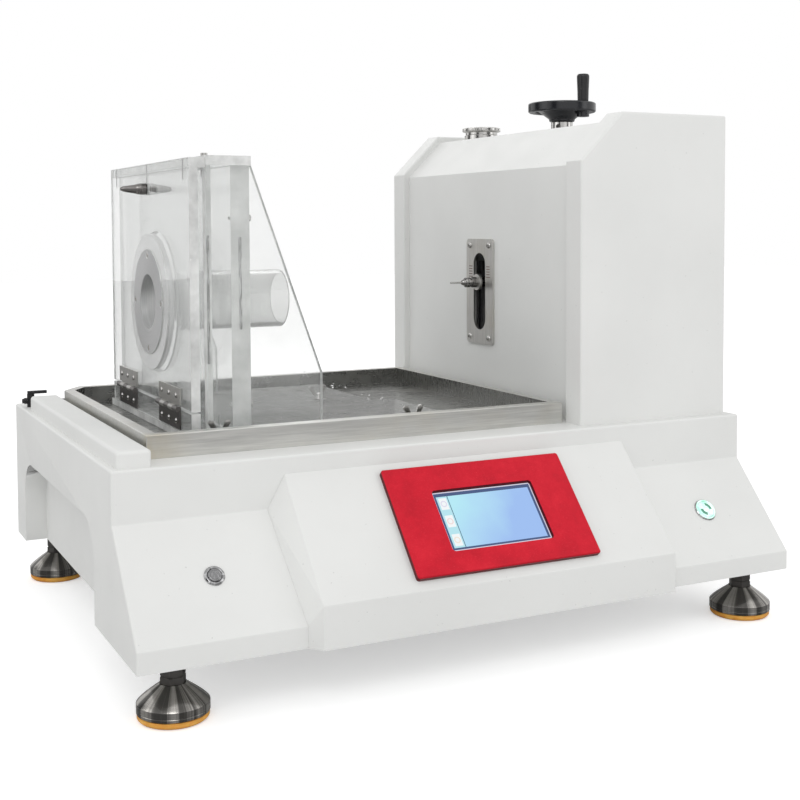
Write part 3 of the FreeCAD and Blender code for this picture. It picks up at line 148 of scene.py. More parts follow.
def parts(tree, vector):
    split = add(tree, "ShaderNodeSeparateXYZ", {0: vector})
    return split.outputs[0], split.outputs[1], split.outputs[2]


def length(tree, first, second):
    squares = [combine(tree, value, 2.0, "POWER") for value in (first, second)]
    return combine(tree, combine(tree, *squares), 0.5, "POWER")


def bump(tree, shader, height, distance):
    raised = add(tree, "ShaderNodeBump", {"Height": height, "Distance": distance})
    feed(tree, shader, {"Normal": raised.outputs["Normal"]})


def shades(color, low, high):
    return tuple(c * low for c in color), tuple(min(1, c * high) for c in color)


def finishPaint(name, color, peel):
    # powder coat: fine orange peel, a faint cloudiness, scattered specks
    material, tree, shader = startMaterial(name, color, roughness=0.45, Specular_IOR_Level=0.4)
    where = place(tree)
    dark, light = shades(color, 0.972, 1.015)
    cloud = tint(tree, noise(tree, where, 6.0, 4.0), ((0.35, dark), (0.65, light)))
    speck = spread(tree, noise(tree, where, 260.0, 1.0), 0.77, 0.80, 0.0, 0.4)
    rough = spread(tree, noise(tree, where, 30.0), 0.3, 0.7, 0.38, 0.52)
    shade = mix(tree, cloud, tuple(c * 0.6 for c in color), speck)
    feed(tree, shader, {"Base Color": shade, "Roughness": rough})
    bump(tree, shader, noise(tree, where, 700.0, 2.0), peel)
    return material


def finishBrushed(name, color, grain, rough, stain=0.0, corner=None):
    # brushed sheet: long grain, cloudy stains, and a heat tint beside a welded corner
    material, tree, shader = startMaterial(name, color, metallic=1.0, roughness=rough[0])
    lines = noise(tree, place(tree, grain), 1.0, 4.0, 0.7)
    where = place(tree)
    cloud = noise(tree, where, 16.0, 5.0, 0.6)
    dark, light = shades(color, 0.80, 1.16)
    shade = tint(tree, lines, ((0.25, dark), (0.75, light)))
    brown = (color[0] * 0.84, color[1] * 0.76, color[2] * 0.60)
    if stain:
        shade = mix(tree, shade, brown, spread(tree, cloud, 0.50, 0.78, 0.0, stain))
    if corner:
        x, y, z = parts(tree, where)
        near = times(tree, spread(tree, x, corner[0], corner[0] + 0.05, 1.0, 0.0),
                     spread(tree, y, corner[1] + 0.02, corner[1], 0.0, 1.0))
        shade = mix(tree, shade, brown, times(tree, near, spread(tree, cloud, 0.35, 0.6, 0.2, 0.9)))
    dull = spread(tree, combine(tree, lines, cloud), 0.6, 1.4, *rough)
    feed(tree, shader, {"Base Color": shade, "Roughness": dull})
    bump(tree, shader, lines, 0.00002)
    return material


def finishTurned(name, color, pitch, rough, paintedStreak=0.0, anisotropic=0.0):
    # lathe-turned metal: fine rings, painted dark fan-shaped reflection streaks, highlight drawn across the
    # rings
    material, tree, shader = startMaterial(name, color, metallic=1.0, roughness=rough[0],
                                           Anisotropic=anisotropic)
    x, y, z = parts(tree, place(tree, source="turnPlace"))
    ringed = joinParts(tree, {0: times(tree, length(tree, x, y), 1 / pitch), 2: times(tree, z, 1 / pitch)})
    rings = noise(tree, ringed, 1.0, 2.0, 0.7)
    dark, light = shades(color, 0.80, 1.12)
    shade = tint(tree, rings, ((0.3, dark), (0.7, light)))
    if paintedStreak:
        # dark fan-shaped bands: painted reflection streaks, not marks on the metal
        paintedFan = noise(tree, place(tree, source="turnAlong"), 1.9, 4.0, 0.72)
        shade = mix(tree, shade, tuple(c * 0.16 for c in color), spread(tree, paintedFan, 0.40, 0.52, 0.0, paintedStreak))
    feed(tree, shader, {"Base Color": shade, "Roughness": spread(tree, rings, 0.3, 0.7, *rough)})
    if anisotropic:
        turn = add(tree, "ShaderNodeVectorTransform", {0: place(tree, source="turnAlong")},
                   vector_type="VECTOR", convert_from="OBJECT", convert_to="WORLD")
        feed(tree, shader, {"Tangent": turn.outputs[0]})
    bump(tree, shader, rings, 0.000015)
    return material


def finishMoulded(name, color, rough, texture=300.0, depth=0.00006, **sockets):
    # fine-grained plastic, or dark steel where Metallic is set
    material, tree, shader = startMaterial(name, color, roughness=rough[0], **sockets)
    where = place(tree)
    cloud = noise(tree, where, 40.0, 4.0)
    dark, light = shades(color, 0.82, 1.18)
    shade = tint(tree, cloud, ((0.3, dark), (0.7, light)))
    feed(tree, shader, {"Base Color": shade, "Roughness": spread(tree, cloud, 0.3, 0.7, *rough)})
    bump(tree, shader, noise(tree, where, texture, 2.0), depth)
    return material


def letLightThrough(tree, surface, color):
    # shadow rays pass, so clear pieces don't throw black shadows
    through = add(tree, "ShaderNodeBsdfTransparent", {"Color": color})
    shadow = add(tree, "ShaderNodeLightPath").outputs["Is Shadow Ray"]
    final = blended(tree, shadow, surface, through.outputs[0])
    feed(tree, tree.nodes["Material Output"], {"Surface": final})


def finishClear(name, haze, scratch=0.25, milkTone=(0.70, 0.71, 0.70), streaks=()):
    # acrylic: a touch of milk, hairline scuffs, hardly any waviness, and dark reflected streaks on sawn edges
    material, tree, shader = startMaterial(name, (0.965, 0.97, 0.965), roughness=0.015, Transmission_Weight=1.0,
                                           IOR=1.45)
    where = place(tree)
    scuff = noise(tree, place(tree, (260, 900, 260)), 1.0, 3.0, 0.75)
    feed(tree, shader, {"Roughness": spread(tree, scuff, 0.60, 0.75, 0.01, 0.01 + scratch)})
    bump(tree, shader, noise(tree, where, 18.0, 2.0), 0.00003)
    cloud = noise(tree, where, 30.0, 4.0, 0.6)
    dark, light = shades(milkTone, 0.96, 1.05)
    shade = tint(tree, cloud, ((0.35, dark), (0.65, light)))
    grain = noise(tree, place(tree, (900, 900, 60)), 1.0, 3.0, 0.7)
    x, y, z = parts(tree, where)
    for left, right, low, high in streaks:
        line = times(tree, within(tree, x, left, right), within(tree, z, low, high))
        shade = mix(tree, shade, (0.05, 0.05, 0.05), times(tree, line, spread(tree, grain, 0.38, 0.56, 0.1,
                                                                              0.9)))
    milk = add(tree, "ShaderNodeBsdfDiffuse", {"Color": shade})
    milky = spread(tree, cloud, 0.35, 0.7, haze * 0.8, haze * 1.2)
    letLightThrough(tree, blended(tree, milky, shader.outputs[0], milk.outputs[0]), (0.94, 0.95, 0.95))
    return material


def finishWater(name):
    material, tree, shader = startMaterial(name, (1, 1, 1), roughness=0.0, Transmission_Weight=1.0, IOR=1.33)
    feed(tree, shader, {"Roughness": spread(tree, noise(tree, place(tree), 500.0), 0.3, 0.7, 0.0, 0.05)})
    letLightThrough(tree, shader.outputs[0], (0.95, 0.96, 0.96))
    return material


def finishRed(name, base):
    # satin red anodising, blotchy and scuffed
    material, tree, shader = startMaterial(name, base, metallic=0.55, roughness=0.4, Specular_IOR_Level=0.3)
    where = place(tree)
    blotch = noise(tree, where, 34.0, 6.0, 0.7)
    dark = tuple(c * 0.86 for c in base)
    light = tuple(min(1, c * 1.12 + 0.005) for c in base)
    pale = tuple(min(1, c * 1.3 + 0.06) for c in base)
    shade = tint(tree, blotch, ((0.32, dark), (0.52, base), (0.72, light)))
    grit = noise(tree, where, 1100.0, 2.0)
    shade = mix(tree, shade, pale, spread(tree, grit, 0.60, 0.74, 0.0, 0.45))
    feed(tree, shader, {"Base Color": shade, "Roughness": spread(tree, blotch, 0.3, 0.7, 0.30, 0.48)})
    bump(tree, shader, grit, 0.00006)
    return material


def finishAmber(name):
    material, tree, shader = startMaterial(name, (0.80, 0.36, 0.04), roughness=0.35, Subsurface_Weight=0.2,
                                           Subsurface_Scale=0.004)
    where = place(tree)
    cloud = noise(tree, where, 70.0, 4.0)
    shade = tint(tree, cloud, ((0.3, (0.66, 0.24, 0.02)), (0.7, (0.90, 0.50, 0.10))))
    feed(tree, shader, {"Base Color": shade, "Roughness": spread(tree, cloud, 0.3, 0.7, 0.28, 0.45)})
    bump(tree, shader, noise(tree, where, 400.0, 2.0), 0.00008)
    return material


def finishMint(name, marks):
    # lit plastic of the power button, with two darker marks on the cap
    material, tree, shader = startMaterial(name, (0.45, 0.80, 0.65), roughness=0.25, Emission_Strength=0.42)
    cloud = noise(tree, place(tree), 160.0, 2.0)
    shade = tint(tree, cloud, ((0.35, (0.42, 0.86, 0.66)), (0.65, (0.75, 0.97, 0.88))))
    if marks:
        x, y, z = parts(tree, place(tree, source="turnPlace"))
        radius = length(tree, x, y)
        side = combine(tree, times(tree, x, 0.80), times(tree, y, 0.60))
        side = combine(tree, combine(tree, side, radius, "DIVIDE"), 0.0, "ABSOLUTE")
        arc = times(tree, combine(tree, side, 0.72, "GREATER_THAN"), within(tree, radius, 0.0042, 0.0078))
        shade = mix(tree, shade, (0.02, 0.16, 0.10), times(tree, arc, 0.9))
    feed(tree, shader, {"Emission Color": shade, "Base Color": shade})
    return material


def finishDisplay(name):
    # lit picture on the panel's own UV: pale frame, dark border, side bar with three tiles, soft gradient
    material, tree, shader = startMaterial(name, (0.01, 0.01, 0.015), roughness=0.12, Emission_Strength=0.92)
    u, v, w = parts(tree, add(tree, "ShaderNodeTexCoord").outputs["UV"])
    drift = noise(tree, place(tree), 30.0, 2.0)
    slide = combine(tree, combine(tree, u, times(tree, v, -0.35)), times(tree, drift, 0.35))
    shade = tint(tree, slide, ((0.05, (0.46, 0.84, 0.94)), (0.38, (0.42, 0.70, 0.93)), (0.75, (0.33, 0.52,
                                                                                               0.90))))
    shade = mix(tree, shade, (0.47, 0.80, 0.88), combine(tree, u, 0.135, "LESS_THAN"))
    for row, icon in ((0.80, (0.55, 0.45, 0.75)), (0.50, (0.85, 0.45, 0.40)), (0.18, (0.85, 0.60, 0.35))):
        tile = times(tree, within(tree, u, 0.045, 0.122), within(tree, v, row - 0.10, row + 0.10))
        shade = mix(tree, shade, (0.92, 0.96, 0.97), tile)
        across = times(tree, combine(tree, u, 0.083, "SUBTRACT"), 1.8)
        reach = length(tree, across, combine(tree, v, row, "SUBTRACT"))
        shade = mix(tree, shade, icon, times(tree, within(tree, reach, 0.035, 0.055), 0.45))
    shade = mix(tree, shade, (0.04, 0.12, 0.20), within(tree, u, 0.135, 0.142))
    inside = times(tree, within(tree, u, 0.028, 0.966), within(tree, v, 0.050, 0.925))
    shade = mix(tree, (0.035, 0.075, 0.20), shade, inside)
    rim = times(tree, within(tree, u, 0.010, 0.990), within(tree, v, 0.018, 0.982))
    feed(tree, shader, {"Emission Color": mix(tree, (0.72, 0.68, 0.80), shade, rim)})
    return material


finishes = {
    "paint": finishPaint("lightPaint", (0.79, 0.795, 0.78), 0.00003),
    "tray": finishBrushed("brushedTray", (0.68, 0.675, 0.65), (16, 500, 500), (0.28, 0.42), 0.25,
                          (-0.334, -0.163)),
    # darker steel for the tray's floor and inner walls: painted shade inside the basin, on a wet floor
    "shadedWetFloor": finishBrushed("shadedWetTrayFloor", (0.30, 0.30, 0.29), (30, 300, 60), (0.16, 0.38), 0.25),
    "plate": finishBrushed("brushedPlate", (0.62, 0.61, 0.585), (300, 420, 14), (0.32, 0.46), 0.4),
    "hinge": finishBrushed("darkHingeSteel", (0.17, 0.16, 0.155), (60, 420, 420), (0.32, 0.5)),
    "hingeUpper": finishBrushed("paleHingeSteel", (0.46, 0.45, 0.43), (60, 420, 420), (0.3, 0.45)),
    "zinc": finishBrushed("zincSheet", (0.42, 0.42, 0.43), (60, 60, 60), (0.35, 0.5)),
    "cupSteel": finishTurned("turnedCupSteel", (0.52, 0.50, 0.47), 0.00045, (0.17, 0.27), 0.96, 0.7),
    "nickel": finishTurned("turnedNickel", (0.70, 0.69, 0.67), 0.0005, (0.14, 0.26), 0.35),
    "nozzle": finishTurned("nozzleChrome", (0.50, 0.49, 0.48), 0.0006, (0.10, 0.20), 0.8),
    "aluminium": finishTurned("turnedAluminium", (0.72, 0.72, 0.72), 0.0006, (0.42, 0.55), 0.0, 0.3),
    "chrome": finishTurned("chromeRing", (0.74, 0.74, 0.75), 0.0010, (0.06, 0.13), 0.6),
    "greyCap": finishTurned("greyCap", (0.38, 0.38, 0.385), 0.0006, (0.25, 0.38), 0.4, 0.4),
    "brass": finishTurned("turnedBrass", (0.70, 0.50, 0.21), 0.0006, (0.22, 0.34), 0.2),
    "pale": finishTurned("paleWasher", (0.66, 0.65, 0.62), 0.0006, (0.35, 0.45)),
    "nut": finishMoulded("darkNutSteel", (0.10, 0.095, 0.09), (0.28, 0.42), 500.0, Metallic=0.9),
    "darkSteel": finishMoulded("darkLatchSteel", (0.20, 0.19, 0.185), (0.12, 0.22), 400.0, 0.00003,
                               Metallic=1.0),
    "black": finishMoulded("glossBlack", (0.012, 0.013, 0.016), (0.16, 0.26), 500.0, 0.00002),
    "grip": finishMoulded("blackGrip", (0.012, 0.012, 0.013), (0.30, 0.45), 400.0),
    "engraved": finishMoulded("engravedMark", (0.13, 0.06, 0.045), (0.5, 0.6), 300.0),
    "board": finishMoulded("greenLaminate", (0.03, 0.16, 0.07), (0.3, 0.45)),
    "vessel": finishMoulded("milkyVessel", (0.72, 0.73, 0.71), (0.3, 0.45), 120.0),
    "clear": finishClear("clearAcrylic", 0.10),
    "clearEdge": finishClear("sawnAcrylic", 0.80, 0.4, milkTone=(0.76, 0.765, 0.755),
                             streaks=((-0.2535, -0.2505, 0.308, 0.443), (-0.2185, -0.2150, 0.343, 0.441))),
    "clearWet": finishClear("wetAcrylic", 0.52, 0.5, milkTone=(0.40, 0.40, 0.39)),
    "clearTube": finishClear("tubeAcrylic", 0.22, 0.5, milkTone=(0.62, 0.62, 0.61)),
    "water": finishWater("waterDrops"),
    "red": finishRed("redAnodised", (0.64, 0.012, 0.030)),
    # darker red: painted shade on the bezel's outer sides, window walls and ledge
    "redPaintedShade": finishRed("redAnodisedPaintedShade", (0.13, 0.003, 0.007)),
    "amber": finishAmber("amberPad"),
    "mint": finishMint("litMint", False),
    "mintCap": finishMint("litMintCap", True),
    "display": finishDisplay("displayPicture"),
}
print("finishes", len(finishes))


# Mesh helpers
foldAngle = 28


def fromBmesh(name, bm, outward=True):
    if outward:
        bmesh.ops.recalc_face_normals(bm, faces=bm.faces)
    mesh = bpy.data.meshes.new(name)
    bm.to_mesh(mesh)
    bm.free()
    obj = bpy.data.objects.new(name, mesh)
    bpy.context.scene.collection.objects.link(obj)
    return obj


def drop(*objs):
    for obj in objs:
        bpy.data.objects.remove(obj)


def baked(obj):
    # the evaluated result becomes the plain mesh, and every modifier goes
    bpy.context.view_layer.update()
    graph = bpy.context.evaluated_depsgraph_get()
    mesh = bpy.data.meshes.new_from_object(obj.evaluated_get(graph))
    obj.modifiers.clear()
    old = obj.data
    obj.data = mesh
    if old.users == 0:
        bpy.data.meshes.remove(old)
    return obj


def bevelled(obj, width, segments=2, angle=30, byWeight=False):
    bevel = obj.modifiers.new("edge", "BEVEL")
    bevel.width = width * mm
    bevel.segments = segments
    bevel.limit_method = "WEIGHT" if byWeight else "ANGLE"
    bevel.angle_limit = math.radians(angle)
    return baked(obj)


def joined(first, *others):
    with bpy.context.temp_override(active_object=first, object=first,
                                   selected_editable_objects=[first, *others]):
        bpy.ops.object.join()
    return first


def drilled(obj, *tools):
    # takes the tools' shape out of the piece
    tool = joined(*tools) if len(tools) > 1 else tools[0]
    cut = obj.modifiers.new("cut", "BOOLEAN")
    cut.solver = "EXACT"
    cut.use_self = True
    cut.object = tool
    baked(obj)
    drop(tool)
    return obj


def addTurn(obj, origin, axis=(0, 0, 1)):
    # place in the turned piece's own axes, and the direction of the tool marks
    turn = Vector((0, 0, 1)).rotation_difference(Vector(axis).normalized()).to_matrix()
    back = turn.transposed()
    centre = Vector(origin) * mm
    found = obj.data.attributes
    here = found.get("turnPlace") or found.new("turnPlace", "FLOAT_VECTOR", "POINT")
    here.data.foreach_set("vector", [c for vert in obj.data.vertices for c in back @ (vert.co - centre)])
    ways = []
    for vert in obj.data.vertices:
        local = back @ (vert.co - centre)
        flat = Vector((-local.y, local.x, 0))
        ways.extend(turn @ (flat.normalized() if flat.length > 1e-7 else Vector((1, 0, 0))))
    along = found.get("turnAlong") or found.new("turnAlong", "FLOAT_VECTOR", "POINT")
    along.data.foreach_set("vector", ways)
    return obj


def settle(obj, finish, node=None, body="base", slot=None, sharp=32):
    # finished piece, smooth with sharp edges: it stands for its node, or only rides on a body
    if finish:
        obj.data.materials.clear()
        obj.data.materials.append(finishes[finish])
    obj.data.shade_smooth()
    obj.data.set_sharp_from_angle(angle=math.radians(sharp))
    weigh = obj.modifiers.new("weigh", "WEIGHTED_NORMAL")
    weigh.keep_sharp = True
    baked(obj)
    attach(obj, nodes[node]["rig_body"] if node else body)
    if node:
        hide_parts(node)
    made.append(obj.name)
    return obj


def axisTurn(axis):
    return Vector((0, 0, 1)).rotation_difference(Vector(axis).normalized()).to_matrix().to_4x4()


def lathe(name, profile, origin, axis=(0, 0, 1), steps=96):
    # turned piece: a closed loop of (radius, height) in millimetres, round an axis through the origin point
    bm = bmesh.new()
    rings = []
    for radius, height in profile:
        if radius < 1e-6:
            rings.append([bm.verts.new((0, 0, height * mm))])
            continue
        angles = [2 * math.pi * i / steps for i in range(steps)]
        rings.append([bm.verts.new(Vector((radius * math.cos(a), radius * math.sin(a),
                                           height)) * mm) for a in angles])
    for ring, after in zip(rings, rings[1:] + rings[:1]):
        if len(ring) == 1 and len(after) == 1:
            continue
        for i in range(steps):
            j = (i + 1) % steps
            around = [ring[i % len(ring)], ring[j % len(ring)], after[j % len(after)], after[i % len(after)]]
            bm.faces.new(list(dict.fromkeys(around)))
    obj = fromBmesh(name, bm)
    obj.data.transform(Matrix.Translation(Vector(origin) * mm) @ axisTurn(axis))
    return addTurn(obj, origin, axis)


def rounded(profile, radius, steps=3):
    # breaks every corner of a profile with a small arc
    result = []
    count = len(profile)
    for index in range(count):
        before, corner, after = (Vector(profile[(index + k) % count]) for k in (-1, 0, 1))
        toBefore = before - corner
        toAfter = after - corner
        if corner.x < 1e-6 or toBefore.length < 1e-6 or toAfter.length < 1e-6:
            result.append(tuple(corner))
            continue
        size = min(radius, toBefore.length * 0.4, toAfter.length * 0.4)
        start = corner + toBefore.normalized() * size
        end = corner + toAfter.normalized() * size
        for step in range(steps + 1):
            t = step / steps
            result.append(tuple((1 - t) ** 2 * start + 2 * t * (1 - t) * corner + t ** 2 * end))
    return result


def loosened(node):
    # merged copy of a CAD node's loose triangles
    bm = bmesh.new()
    bm.from_mesh(nodes[node].data)
    bmesh.ops.remove_doubles(bm, verts=bm.verts, dist=2e-6)
    bmesh.ops.dissolve_limit(bm, angle_limit=math.radians(0.2), verts=bm.verts, edges=bm.edges)
    return bm


def dress(node, finish, width=0.0, segments=2, shrink=0.0, turn=None, chosen=None, second=None):
    # a CAD node's own shape with softened edges, and a second finish on the faces that a test picks
    bm = loosened(node)
    if shrink:
        bm.normal_update()
        for vert in bm.verts:
            vert.co -= vert.normal * vert.calc_shell_factor() * shrink * mm
    if chosen:
        weight = bm.edges.layers.float.new("bevel_weight_edge")
        for edge in bm.edges:
            edge[weight] = 1.0 if len(edge.link_faces) == 2 and chosen(edge) else 0.0
    obj = fromBmesh(node + "Dressed", bm, outward=False)
    if width:
        bevelled(obj, width, segments, foldAngle, bool(chosen))
    if turn:
        addTurn(obj, *turn)
    settle(obj, finish, node)
    if second:
        other, picked = second
        obj.data.materials.append(finishes[other])
        for face in obj.data.polygons:
            if picked(face):
                face.material_index = 1


# Geometry Nodes helpers
def startTree(name, sockets):
    tree = bpy.data.node_groups.new(name, "GeometryNodeTree")
    tree.interface.new_socket("Geometry", in_out="OUTPUT", socket_type="NodeSocketGeometry")
    for label, kind in sockets.items():
        tree.interface.new_socket(label, in_out="INPUT", socket_type="NodeSocket" + kind)
    return tree, tree.nodes.new("NodeGroupInput").outputs


def endTree(tree, given, geometry):
    realize = add(tree, "GeometryNodeRealizeInstances", {0: geometry})
    coat = add(tree, "GeometryNodeSetMaterial", {"Geometry": realize.outputs[0], "Material": given["Finish"]})
    add(tree, "NodeGroupOutput", {0: coat.outputs[0]})
    return tree


def grow(name, tree, values, mesh=None):
    # runs a tree on an object of its own and keeps the plain mesh
    obj = bpy.data.objects.new(name, mesh or bpy.data.meshes.new(name))
    bpy.context.scene.collection.objects.link(obj)
    modifier = obj.modifiers.new("grow", "NODES")
    modifier.node_group = tree
    for item in tree.interface.items_tree:
        if item.in_out == "INPUT" and item.name in values:
            modifier[item.identifier] = values[item.name]
    return baked(obj)


def objectShape(tree, source):
    return add(tree, "GeometryNodeObjectInfo", {"Object": source},
               transform_space="ORIGINAL").outputs["Geometry"]


def copyAt(tree, points, shape, **turned):
    return add(tree, "GeometryNodeInstanceOnPoints", {"Points": points, "Instance": shape, **turned}).outputs[0]


def screwTree():
    # one screw on each point of the mesh, facing its stored direction and turned by its own random angle
    tree, given = startTree("screws", {"Places": "Geometry", "Screw": "Object", "Turn": "Float", "Seed": "Int",
                                       "Finish": "Material"})
    facing = add(tree, "GeometryNodeInputNamedAttribute", {"Name": "facing"}, data_type="FLOAT_VECTOR")
    align = add(tree, "FunctionNodeAlignRotationToVector", {"Vector": facing.outputs[0]}, axis="Z")
    spin = add(tree, "FunctionNodeRandomValue", {3: given["Turn"], "Seed": given["Seed"]}, data_type="FLOAT")
    turn = add(tree, "FunctionNodeEulerToRotation", {0: joinParts(tree, {2: spin.outputs[1]})})
    rotate = add(tree, "FunctionNodeRotateRotation", {0: align.outputs[0], 1: turn.outputs[0]},
                 rotation_space="LOCAL")
    points = add(tree, "GeometryNodeMeshToPoints", {0: given["Places"]})
    shape = objectShape(tree, given["Screw"])
    return endTree(tree, given, copyAt(tree, points.outputs[0], shape, Rotation=rotate.outputs[0]))


def ringTree():
    # copies of one shape round the Z axis: spokes and knurls
    tree, given = startTree("roundAnAxis", {"Shape": "Object", "Count": "Int", "Radius": "Float",
                                            "First": "Float", "Finish": "Material"})
    circle = add(tree, "GeometryNodeMeshCircle", {"Vertices": given["Count"], "Radius": given["Radius"]},
                 fill_type="NONE")
    turn = add(tree, "GeometryNodeTransform", {"Geometry": circle.outputs[0],
                                               "Rotation": joinParts(tree, {2: given["First"]})})
    position = add(tree, "GeometryNodeInputPosition")
    align = add(tree, "FunctionNodeAlignRotationToVector", {"Vector": position.outputs[0]}, axis="X",
                pivot_axis="Z")
    shape = objectShape(tree, given["Shape"])
    return endTree(tree, given, copyAt(tree, turn.outputs[0], shape, Rotation=align.outputs[0]))


def tickTree():
    # ladder of engraved marks up the Z axis, every fifth one longer
    tree, given = startTree("tickMarks", {"Count": "Int", "Step": "Float", "Long": "Float", "Short": "Float",
                                          "Thick": "Float", "Finish": "Material"})
    line = add(tree, "GeometryNodeMeshLine", {"Count": given["Count"], "Offset": joinParts(tree,
                                                                                           {2: given["Step"]})})
    rest = combine(tree, add(tree, "GeometryNodeInputIndex").outputs[0], 5.0, "MODULO")
    span = add(tree, "ShaderNodeMix", {0: combine(tree, rest, 0.5, "LESS_THAN"), 2: given["Short"],
                                       3: given["Long"]})
    size = joinParts(tree, {0: given["Thick"], 1: span.outputs[0], 2: given["Thick"]})
    cube = add(tree, "GeometryNodeMeshCube", {"Size": (1, 1, 1)})
    return endTree(tree, given, copyAt(tree, line.outputs[0], cube.outputs[0], Scale=size))


def dropTree():
    # flattened drops scattered over a patch
    tree, given = startTree("drops", {"Places": "Geometry", "Density": "Float", "Smallest": "Float",
                                      "Largest": "Float", "Flat": "Float", "Seed": "Int", "Finish": "Material"})
    scatter = add(tree, "GeometryNodeDistributePointsOnFaces",
                  {"Mesh": given["Places"], "Density": given["Density"], "Seed": given["Seed"]})
    ball = add(tree, "GeometryNodeMeshIcoSphere", {"Radius": 1.0, "Subdivisions": 2})
    width = add(tree, "FunctionNodeRandomValue", {2: given["Smallest"], 3: given["Largest"],
                                                  "Seed": given["Seed"]},
                data_type="FLOAT").outputs[1]
    size = joinParts(tree, {0: width, 1: width, 2: times(tree, width, given["Flat"])})
    turned = {"Rotation": scatter.outputs["Rotation"], "Scale": size}
    return endTree(tree, given, copyAt(tree, scatter.outputs["Points"], ball.outputs[0], **turned))


trees = {"screws": screwTree(), "ring": ringTree(), "ticks": tickTree(), "drops": dropTree()}


def screwShape(name, head, radius=0.0, length=0.0, cross=0.0, pitch=0.8):
    # head above z = 0, threaded shank below it, a cross recess cut in
    profile = [(0, head[0][1])] + head
    if length:
        profile.append((radius, 0))
        for index in range(int(length / pitch)):
            profile += [(radius, -(index + 0.25) * pitch), (radius * 0.84, -(index + 0.75) * pitch)]
        profile += [(radius * 0.8, -length), (0, -length)]
    else:
        profile.append((0, 0))
    obj = lathe(name, profile, (0, 0, 0), steps=20)
    if cross:
        cutter = bmesh.new()
        for wide, deep in ((cross, cross * 0.2), (cross * 0.2, cross)):
            for vert in bmesh.ops.create_cube(cutter, size=1.0)["verts"]:
                vert.co = Vector((vert.co.x * wide * 2, vert.co.y * deep * 2,
                                  vert.co.z * cross * 0.9 + head[0][1])) * mm
        drilled(obj, fromBmesh(name + "Tool", cutter))
    return obj


def placeScrews(name, shape, places, finish, node=None, turn=3.0, seed=3, **carried):
    mesh = bpy.data.meshes.new(name + "Places")
    mesh.from_pydata([Vector(spot) * mm for spot, direction in places], [], [])
    facing = mesh.attributes.new("facing", "FLOAT_VECTOR", "POINT")
    for index, (spot, direction) in enumerate(places):
        facing.data[index].vector = Vector(direction)
    values = {"Screw": shape, "Turn": turn, "Seed": seed, "Finish": finishes[finish]}
    settle(grow(name, trees["screws"], values, mesh), finish, node, **carried)


print("helpers and trees ready")

# Camera at the photograph's view
cameraSet = {"place": (-657.7, -1369.0, 452.4), "heading": 26.59, "down": 2.84, "roll": -0.25, "focal": 1252.29,
             "centreRow": 287.54, "picture": 800}


def addCamera(c):
    heading, down, roll = (math.radians(c[k]) for k in ("heading", "down", "roll"))
    forward = Vector((math.sin(heading) * math.cos(down), math.cos(heading) * math.cos(down), -math.sin(down)))
    right = Vector((math.cos(heading), -math.sin(heading), 0))
    up = right.cross(forward)
    side = math.cos(roll) * right + math.sin(roll) * up
    top = -math.sin(roll) * right + math.cos(roll) * up
    data = bpy.data.cameras.new("view")
    data.sensor_width = 36.0
    data.lens = c["focal"] / c["picture"] * data.sensor_width
    data.shift_y = (c["centreRow"] - c["picture"] / 2) / c["picture"]
    data.clip_start = 0.05
    data.clip_end = 60
    camera = bpy.data.objects.new("view", data)
    turn = Matrix((side, top, -forward)).transposed().to_4x4()
    camera.matrix_world = Matrix.Translation(Vector(c["place"]) * mm) @ turn
    bpy.context.scene.collection.objects.link(camera)
    bpy.context.scene.camera = camera


addCamera(cameraSet)

# lamps: place, diameter, power and aim, in metres and watts
lampSet = {
    "keyLamp": ((-1.3, -2.2, 2.4), 1.6, 17.0, (0, 0, 0.25)),
    "fillLamp": ((2.2, -2.2, 1.2), 2.0, 9.0, (0, 0, 0.25)),
    "backLamp": ((0.6, 2.4, 2.2), 2.0, 8.0, (0, 0, 0.3)),
    "leftLamp": ((-2.6, 0.3, 1.4), 1.6, 4.5, (0, 0, 0.25)),
}

# dark cards that only reflections see: width, height, place and aim in metres, and shade
cardSet = {
    "leftCard": (1.0, 2.4, (-2.6, -1.6, 0.9), (0, 0, 0.3), 0.03),
    "rightCard": (1.0, 2.2, (1.9, -2.6, 0.8), (0, 0, 0.3), 0.03),
    "farCard": (1.2, 2.0, (-2.3, 2.0, 0.9), (0, 0, 0.3), 0.05),
    "backCard": (3.4, 0.9, (1.1, 2.7, 0.55), (0, 0, 0.3), 0.30),
}

roomSet = {"ambient": 0.80, "glossy": 0.72, "floor": (0.80, 0.80, 0.80), "floorGlow": 0.45, "floorSheen": 0.45,
           "floorReach": 9.0, "floorHeight": -0.0004}


def addLamps():
    for name, (where, size, power, aim) in lampSet.items():
        data = bpy.data.lights.new(name, "AREA")
        data.shape = "DISK"
        data.size = size
        data.energy = power
        lamp = bpy.data.objects.new(name, data)
        lamp.location = where
        lamp.rotation_euler = (Vector(aim) - Vector(where)).to_track_quat("-Z", "Y").to_euler()
        bpy.context.scene.collection.objects.link(lamp)


def addCards():
    for name, (width, height, where, aim, shade) in cardSet.items():
        material, tree, shader = startMaterial(name, (shade, shade, shade), roughness=0.9)
        bm = bmesh.new()
        bmesh.ops.create_grid(bm, x_segments=1, y_segments=1, size=0.5)
        card = fromBmesh(name, bm, outward=False)
        turn = (Vector(aim) - Vector(where)).to_track_quat("Z", "Y").to_matrix().to_4x4()
        card.data.transform(Matrix.Translation(where) @ turn @ Matrix.Diagonal((width, height, 1, 1)))
        card.data.materials.append(material)
        for ray in ("camera", "diffuse", "transmission", "shadow"):
            setattr(card, "visible_" + ray, False)


